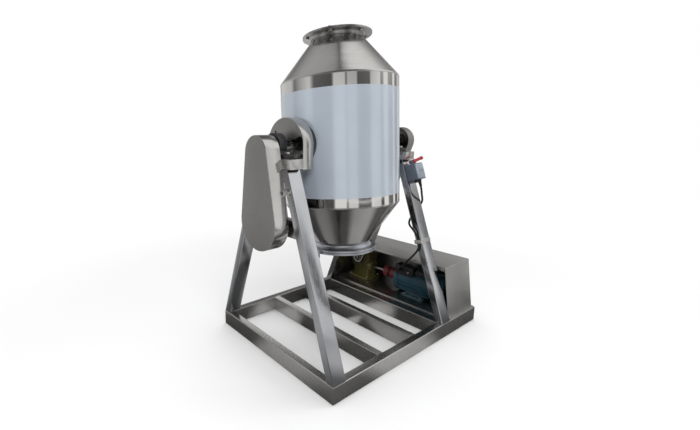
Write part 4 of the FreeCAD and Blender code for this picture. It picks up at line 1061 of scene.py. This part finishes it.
class MIXER_OT_switch(bpy.types.Operator):
    """Reversing switch with its lever, cover and glands"""

    bl_idname = "mixer.switch"
    bl_label = "Switch"

    def execute(self, context):
        skin_of("switch_box", "switch paint", bevel=0.0015)
        skin_of("switch_cover", "switch cover paint", bevel=0.0020)
        skin_of("switch_lever", "red moulding", bevel=0.0015)
        skin_of("cable_glands", "black moulding", bevel=0.0006)
        skin_of("lead_tie", "bolt steel", bevel=0.0003)
        return {"FINISHED"}


def on_leg(x, y, z):
    """A place on the switch's leg, measured from the switch along and across the leg's sloping front."""
    switch_height = 0.848
    slope = math.atan(LEG_SLOPE)
    return Vector((RIGHT_TRESTLE + TRESTLE_WIDTH / 2 + x,
                   -leg_front(switch_height) + y * math.cos(slope) + z * math.sin(slope),
                   switch_height - y * math.sin(slope) + z * math.cos(slope)))


class MIXER_OT_lead(bpy.types.Operator):
    """Lead from the switch to the motor"""

    bl_idname = "mixer.lead"
    bl_label = "Motor Lead"

    def execute(self, context):
        gland_x, gland_length, out, side, back = 0.014, 0.016, -0.038, 0.047, 0.058
        top, step, tie, middle = -0.088, 0.024, -0.352, LEG_DEPTH / 2
        entry = Vector((0.422, -0.070, 0.262))
        points = [on_leg(gland_x, out, -gland_length), on_leg(gland_x, out, top + 1.4 * step),
                  on_leg(gland_x + step / 2, out + 0.6 * step, top),
                  on_leg(side, -step / 3, top - 1.2 * step),
                  on_leg(side + step / 3, 0.7 * step, top - 2.25 * step),
                  on_leg(side + step / 8, back - step / 3, top - 3.25 * step),
                  on_leg(0.7 * step, back, top - 4.25 * step), on_leg(-0.8 * step, back, top - 5.15 * step),
                  on_leg(-side - step / 5, back - step / 3, top - 6.15 * step),
                  on_leg(-side - step / 2, middle + step / 4, top - 7.5 * step),
                  on_leg(-side + 0.0005, middle - 0.001, top - 9.15 * step),
                  on_leg(-side + 0.0005, middle - 0.001, tie - 0.6 * step),
                  on_leg(-side - step / 6, back - 0.009, tie - 2.2 * step),
                  entry - Vector((0.046, 0, 0)), entry]
        curve = bpy.data.curves.new("motor_lead_skin", "CURVE")
        curve.dimensions = "3D"
        curve.bevel_depth = 0.0055
        curve.bevel_resolution = 6
        curve.resolution_u = 16
        curve.use_fill_caps = True
        line = curve.splines.new("NURBS")
        line.points.add(len(points) - 1)
        for spot, point in zip(line.points, points):
            spot.co = (point.x, point.y, point.z, 1.0)
        line.order_u = 3
        line.use_endpoint_u = True
        lead = bpy.data.objects.new("motor_lead_skin", curve)
        bpy.context.scene.collection.objects.link(lead)
        lead.data.materials.append(finish_named("lead sheath"))
        fit(lead, "motor_lead")
        boots = [self.boot("lead_boot_switch", points[0], points[1]),
                 self.boot("lead_boot_motor", points[-1], points[-2])]
        return {"FINISHED"}

    def boot(self, name, start, onward):
        """Tapered sleeve that keeps the lead from kinking at its gland."""
        wide, narrow, length, set_in = 0.0085, 0.0066, 0.024, 0.0121
        way = (onward - start).normalized()
        bpy.ops.mesh.primitive_cone_add(
            vertices=32, radius1=wide, radius2=narrow, depth=length, location=start + way * set_in,
            rotation=way.to_track_quat("Z", "Y").to_euler())
        piece = bpy.context.object
        piece.name = name
        settle(piece)
        soften_edges(piece, 0.0006)
        dress(smooth(piece, angle=40), "rubber")
        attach(piece, "frame")
        return piece


class MIXER_OT_fasteners(bpy.types.Operator):
    """Bolts of the frame, bearings and drive"""

    bl_idname = "mixer.fasteners"
    bl_label = "Fasteners"

    def execute(self, context):
        skin_of("frame_bolts", "bolt steel", bevel=0.0005)
        return {"FINISHED"}


# Camera, lamps, floor and backdrop

# The photograph's width and height, and the lens solved from it, all in pixels
PHOTO_WIDTH = 700.0
PHOTO_HEIGHT = 430.0
FOCAL_LENGTH = 375.7
LENS_CENTRE = (258.6, 201.3)

# Where the camera stands, and how far it is turned, tilted and rolled
CAMERA_SPOT = (-1.6367, -1.3822, 1.1409)
CAMERA_TURNS = (math.radians(35.9), math.radians(-10.68), math.radians(-0.49))

# Each lamp's place, size and power
LAMPS = {
    "Key": ((-2.0, -2.8, 3.4), 2.2, 75.0),
    "Fill": ((-3.4, 0.8, 2.4), 2.0, 22.0),
    "Top": ((0.4, 0.4, 3.8), 2.6, 50.0),
    "Side": ((2.8, -2.2, 2.2), 1.6, 26.0),
}
LAMPS_AIM = Vector((0, 0, 0.8))

# Tones of the screens round the drum, on the floor near it and overhead, by shares of a full turn
PANELS = ((0.0, 0.12), (0.085, 0.10), (0.095, 1.0), (0.150, 1.0), (0.152, 0.35), (0.160, 0.35), (0.163, 0.85),
          (0.210, 0.80), (0.214, 0.10), (0.282, 0.12), (0.286, 0.90), (0.344, 0.80), (0.347, 0.12),
          (0.366, 0.12), (0.369, 1.0), (0.400, 1.0), (0.403, 0.25), (0.444, 0.15), (0.446, 1.0), (0.464, 1.0),
          (0.467, 0.15), (0.497, 0.15), (0.500, 0.70), (0.600, 0.50), (0.615, 0.80), (0.690, 0.85),
          (0.700, 0.25), (0.720, 0.80), (0.840, 0.70), (0.866, 0.20), (0.964, 0.85), (0.990, 0.12))
FLOOR = ((0.0, 0.50), (0.05, 0.45), (0.10, 0.14), (0.18, 0.14), (0.22, 0.55), (0.33, 0.60), (0.37, 0.12),
         (0.44, 0.12), (0.47, 0.85), (0.52, 0.85), (0.55, 0.10), (0.75, 0.10), (0.78, 0.80), (0.84, 0.80),
         (0.87, 0.10), (0.94, 0.12), (0.97, 0.48), (1.0, 0.50))
CEILING = ((0.0, 0.26), (0.08, 0.12), (0.20, 0.14), (0.29, 0.24), (0.34, 1.0), (0.47, 1.0), (0.51, 0.40),
           (0.57, 0.12), (0.70, 0.18), (0.78, 0.50), (0.90, 0.50), (1.0, 0.26))

# Tones of the soft light from the world, by shares of the way from straight down to straight up
SKY = ((0.45, 0.35), (0.52, 0.60), (0.80, 0.95), (1.0, 1.0))


def background_rays(nodes, links):
    """One for the rays that show the background: the camera's, and those off metal or through glass."""
    paths = nodes.new("ShaderNodeLightPath")
    total = paths.outputs["Is Camera Ray"]
    for kind in ("Is Glossy Ray", "Is Transmission Ray"):
        both = worked_out(nodes, "MAXIMUM")
        links.new(total, both.inputs[0])
        links.new(paths.outputs[kind], both.inputs[1])
        total = both.outputs["Value"]
    return total


def either_shader(nodes, links, share, first, second):
    """The first shader where the share is 0 and the second where it is 1."""
    mix = nodes.new("ShaderNodeMixShader")
    links.new(share, mix.inputs["Fac"])
    links.new(first, mix.inputs[1])
    links.new(second, mix.inputs[2])
    return mix.outputs["Shader"]


def ramp_of(nodes, stops):
    """A colour ramp of grey tones."""
    ramp = nodes.new("ShaderNodeValToRGB")
    line = ramp.color_ramp.elements
    while len(line) > 1:
        line.remove(line[-1])
    line[0].position = stops[0][0]
    line[0].color = shade((1, 1, 1), stops[0][1])
    for spot, tone in stops[1:]:
        line.new(spot).color = shade((1, 1, 1), tone)
    return ramp


class MIXER_OT_stage(bpy.types.Operator):
    """Camera, floor, lamps and a white studio"""

    bl_idname = "mixer.stage"
    bl_label = "Stage"

    def execute(self, context):
        self.camera()
        self.floor()
        for name, (spot, size, power) in LAMPS.items():
            self.lamp(name, spot, size, power)
        self.studio()
        self.screens()
        context.scene.view_settings.view_transform = "Standard"
        return {"FINISHED"}

    def camera(self):
        data = bpy.data.cameras.new("Camera")
        camera = bpy.data.objects.new("Camera", data)
        bpy.context.scene.collection.objects.link(camera)
        yaw, pitch, roll = CAMERA_TURNS
        ahead = Vector((math.sin(yaw) * math.cos(pitch), math.cos(yaw) * math.cos(pitch), math.sin(pitch)))
        level = Vector((math.cos(yaw), -math.sin(yaw), 0))
        above = level.cross(ahead)
        right = level * math.cos(roll) + above * math.sin(roll)
        up = above * math.cos(roll) - level * math.sin(roll)
        turn = Matrix((right, up, -ahead)).transposed().to_4x4()
        camera.matrix_world = Matrix.Translation(CAMERA_SPOT) @ turn
        data.sensor_width = 36.0
        data.lens = data.sensor_width * FOCAL_LENGTH / PHOTO_WIDTH
        data.shift_x = (PHOTO_WIDTH / 2 - LENS_CENTRE[0]) / PHOTO_WIDTH
        data.shift_y = -(PHOTO_HEIGHT / 2 - LENS_CENTRE[1]) / PHOTO_WIDTH
        data.clip_end = 100.0
        bpy.context.scene.camera = camera

    def floor(self):
        """White to the camera and in metal beyond the machine's shadow, and grey as a source of light."""
        clear_selection()
        bpy.ops.mesh.primitive_circle_add(vertices=96, radius=30, fill_type="NGON", location=(0, 0, -0.0005))
        floor = bpy.context.object
        floor.name = "studio_floor"
        material = new_material("Studio floor", roughness=0.8)
        shader, nodes, links = shader_of(material), material.node_tree.nodes, material.node_tree.links
        shader.inputs["Base Color"].default_value = (0.94, 0.94, 0.94, 1.0)
        shader.inputs["Specular IOR Level"].default_value = 0.0
        dull = nodes.new("ShaderNodeBsdfDiffuse")
        dull.inputs["Color"].default_value = (0.42, 0.42, 0.42, 1.0)
        paper = nodes.new("ShaderNodeEmission")
        paper.inputs["Strength"].default_value = 1.0
        where = nodes.new("ShaderNodeNewGeometry")
        distance = worked_out(nodes, "LENGTH", "ShaderNodeVectorMath")
        shadow_start, shadow_end = 0.9, 2.6
        fade = span(nodes, shadow_start, shadow_end)
        fade.interpolation_type = "SMOOTHSTEP"
        links.new(where.outputs["Position"], distance.inputs[0])
        links.new(distance.outputs["Value"], fade.inputs["Value"])
        shown = either_shader(nodes, links, fade.outputs["Result"], shader.outputs["BSDF"],
                              paper.outputs["Emission"])
        whole = either_shader(nodes, links, background_rays(nodes, links), dull.outputs["BSDF"], shown)
        links.new(whole, nodes["Material Output"].inputs["Surface"])
        dress_with(floor, material)

    def lamp(self, name, spot, size, power):
        data = bpy.data.lights.new(name, "AREA")
        data.size = size
        data.energy = power
        lamp = bpy.data.objects.new(name, data)
        lamp.visible_glossy = False
        bpy.context.scene.collection.objects.link(lamp)
        lamp.location = spot
        lamp.rotation_euler = (LAMPS_AIM - Vector(spot)).to_track_quat("-Z", "Y").to_euler()

    def studio(self):
        """A world that is white to the camera and in metal, and soft light elsewhere."""
        world = bpy.data.worlds.new("Studio")
        bpy.context.scene.world = world
        world.use_nodes = True
        nodes, links = world.node_tree.nodes, world.node_tree.links
        nodes.clear()
        output = nodes.new("ShaderNodeOutputWorld")
        soft = nodes.new("ShaderNodeBackground")
        soft.inputs["Strength"].default_value = 0.55
        white = nodes.new("ShaderNodeBackground")
        white.inputs["Color"].default_value = (1, 1, 1, 1)
        white.inputs["Strength"].default_value = 1.0
        way = nodes.new("ShaderNodeTexCoord")
        split = nodes.new("ShaderNodeSeparateXYZ")
        height = span(nodes, -1.0, 1.0)
        sky = ramp_of(nodes, SKY)
        links.new(way.outputs["Generated"], split.inputs["Vector"])
        links.new(split.outputs["Z"], height.inputs["Value"])
        links.new(height.outputs["Result"], sky.inputs["Fac"])
        links.new(sky.outputs["Color"], soft.inputs["Color"])
        whole = either_shader(nodes, links, background_rays(nodes, links), soft.outputs["Background"],
                              white.outputs["Background"])
        links.new(whole, output.inputs["Surface"])

    def screens(self):
        """Tinted screens round the studio and over its floor, which only metal shows."""
        clear_selection()
        bpy.ops.mesh.primitive_uv_sphere_add(segments=64, ring_count=32, radius=12)
        dome = bpy.context.object
        dome.name = "studio_screens"
        bpy.ops.mesh.primitive_circle_add(vertices=96, radius=11, fill_type="NGON", location=(0, 0, -0.0002))
        mat = bpy.context.object
        mat.name = "studio_floor_screen"
        for screen, tones in ((dome, self.dome_tones), (mat, self.mat_tones)):
            material = new_material(screen.name)
            nodes, links = material.node_tree.nodes, material.node_tree.links
            gel = nodes.new("ShaderNodeBsdfTransparent")
            links.new(tones(nodes, links), gel.inputs["Color"])
            links.new(gel.outputs["BSDF"], nodes["Material Output"].inputs["Surface"])
            nodes.remove(shader_of(material))
            dress_with(screen, material)
            screen.visible_camera = False
            screen.visible_diffuse = False
            screen.visible_transmission = False
            screen.visible_shadow = False

    def dome_tones(self, nodes, links):
        """The panels low down, which give way to the ceiling as they rise."""
        shift = self.from_drum(nodes, links)
        way = worked_out(nodes, "NORMALIZE", "ShaderNodeVectorMath")
        links.new(shift, way.inputs[0])
        split = nodes.new("ShaderNodeSeparateXYZ")
        links.new(way.outputs["Vector"], split.inputs["Vector"])
        return self.blended(nodes, links, shift, split.outputs["Z"], (0.20, 0.56), PANELS, CEILING)

    def mat_tones(self, nodes, links):
        """The floor's tones near the drum, which give way to the panels further out."""
        shift = self.from_drum(nodes, links)
        distance = worked_out(nodes, "LENGTH", "ShaderNodeVectorMath")
        links.new(shift, distance.inputs[0])
        return self.blended(nodes, links, shift, distance.outputs["Value"], (0.9, 2.2), FLOOR, PANELS)

    def from_drum(self, nodes, links):
        """The way from the foot of the drum's own place to a point."""
        where = nodes.new("ShaderNodeNewGeometry")
        shift = worked_out(nodes, "SUBTRACT", "ShaderNodeVectorMath")
        shift.inputs[1].default_value = (DRUM_X, 0.0, 0.0)
        links.new(where.outputs["Position"], shift.inputs[0])
        return shift.outputs["Vector"]

    def blended(self, nodes, links, shift, measure, limits, first, second):
        """Tones round the drum that change from the first ramp to the second between two limits."""
        split = nodes.new("ShaderNodeSeparateXYZ")
        turn = worked_out(nodes, "ARCTAN2")
        around = span(nodes, -math.pi, math.pi)
        share = span(nodes, *limits)
        blend = colour_blend(nodes)
        links.new(shift, split.inputs["Vector"])
        links.new(split.outputs["Y"], turn.inputs[0])
        links.new(split.outputs["X"], turn.inputs[1])
        links.new(turn.outputs["Value"], around.inputs["Value"])
        links.new(measure, share.inputs["Value"])
        links.new(share.outputs["Result"], blend.inputs["Factor"])
        for socket, stops in (("A", first), ("B", second)):
            tones = ramp_of(nodes, stops)
            links.new(around.outputs["Result"], tones.inputs["Fac"])
            links.new(tones.outputs["Color"], blend.inputs[socket])
        return blend.outputs["Result"]


class MIXER_PT_panel(bpy.types.Panel):
    """Lists the mixer's operators and settings"""

    bl_label = "Drum Mixer"
    bl_idname = "MIXER_PT_panel"
    bl_space_type = "VIEW_3D"
    bl_region_type = "UI"
    bl_category = "Drum Mixer"

    def draw(self, context):
        for name in ("drum_radius", "sheet", "edge_break", "weld_bead"):
            self.layout.prop(context.scene.mixer_sizes, name)
        for name in MixerFinishes.__annotations__:
            self.layout.prop(context.scene.mixer_finishes, name)
        for operator in PIECES:
            self.layout.operator(operator.bl_idname)


PIECES = (MIXER_OT_stage, MIXER_OT_lead, MIXER_OT_base, MIXER_OT_drum, MIXER_OT_ends, MIXER_OT_carrier,
          MIXER_OT_guards, MIXER_OT_chains, MIXER_OT_drive, MIXER_OT_cover, MIXER_OT_switch,
          MIXER_OT_fasteners)
CLASSES = (MixerSizes, MixerFinishes) + PIECES + (MIXER_PT_panel,)


def register():
    for item in CLASSES:
        bpy.utils.register_class(item)
    bpy.types.Scene.mixer_sizes = bpy.props.PointerProperty(type=MixerSizes)
    bpy.types.Scene.mixer_finishes = bpy.props.PointerProperty(type=MixerFinishes)


def unregister():
    del bpy.types.Scene.mixer_finishes
    del bpy.types.Scene.mixer_sizes
    for item in reversed(CLASSES):
        bpy.utils.unregister_class(item)


def main():
    register()
    bpy.ops.mixer.stage()
    bpy.ops.mixer.lead()
    bpy.ops.mixer.base()
    bpy.ops.mixer.drum()
    bpy.ops.mixer.ends()
    bpy.ops.mixer.carrier()
    bpy.ops.mixer.guards()
    bpy.ops.mixer.chains()
    bpy.ops.mixer.drive()
    bpy.ops.mixer.cover()
    bpy.ops.mixer.switch()
    bpy.ops.mixer.fasteners()
    clear_selection()


if __name__ == "__main__":
    main()
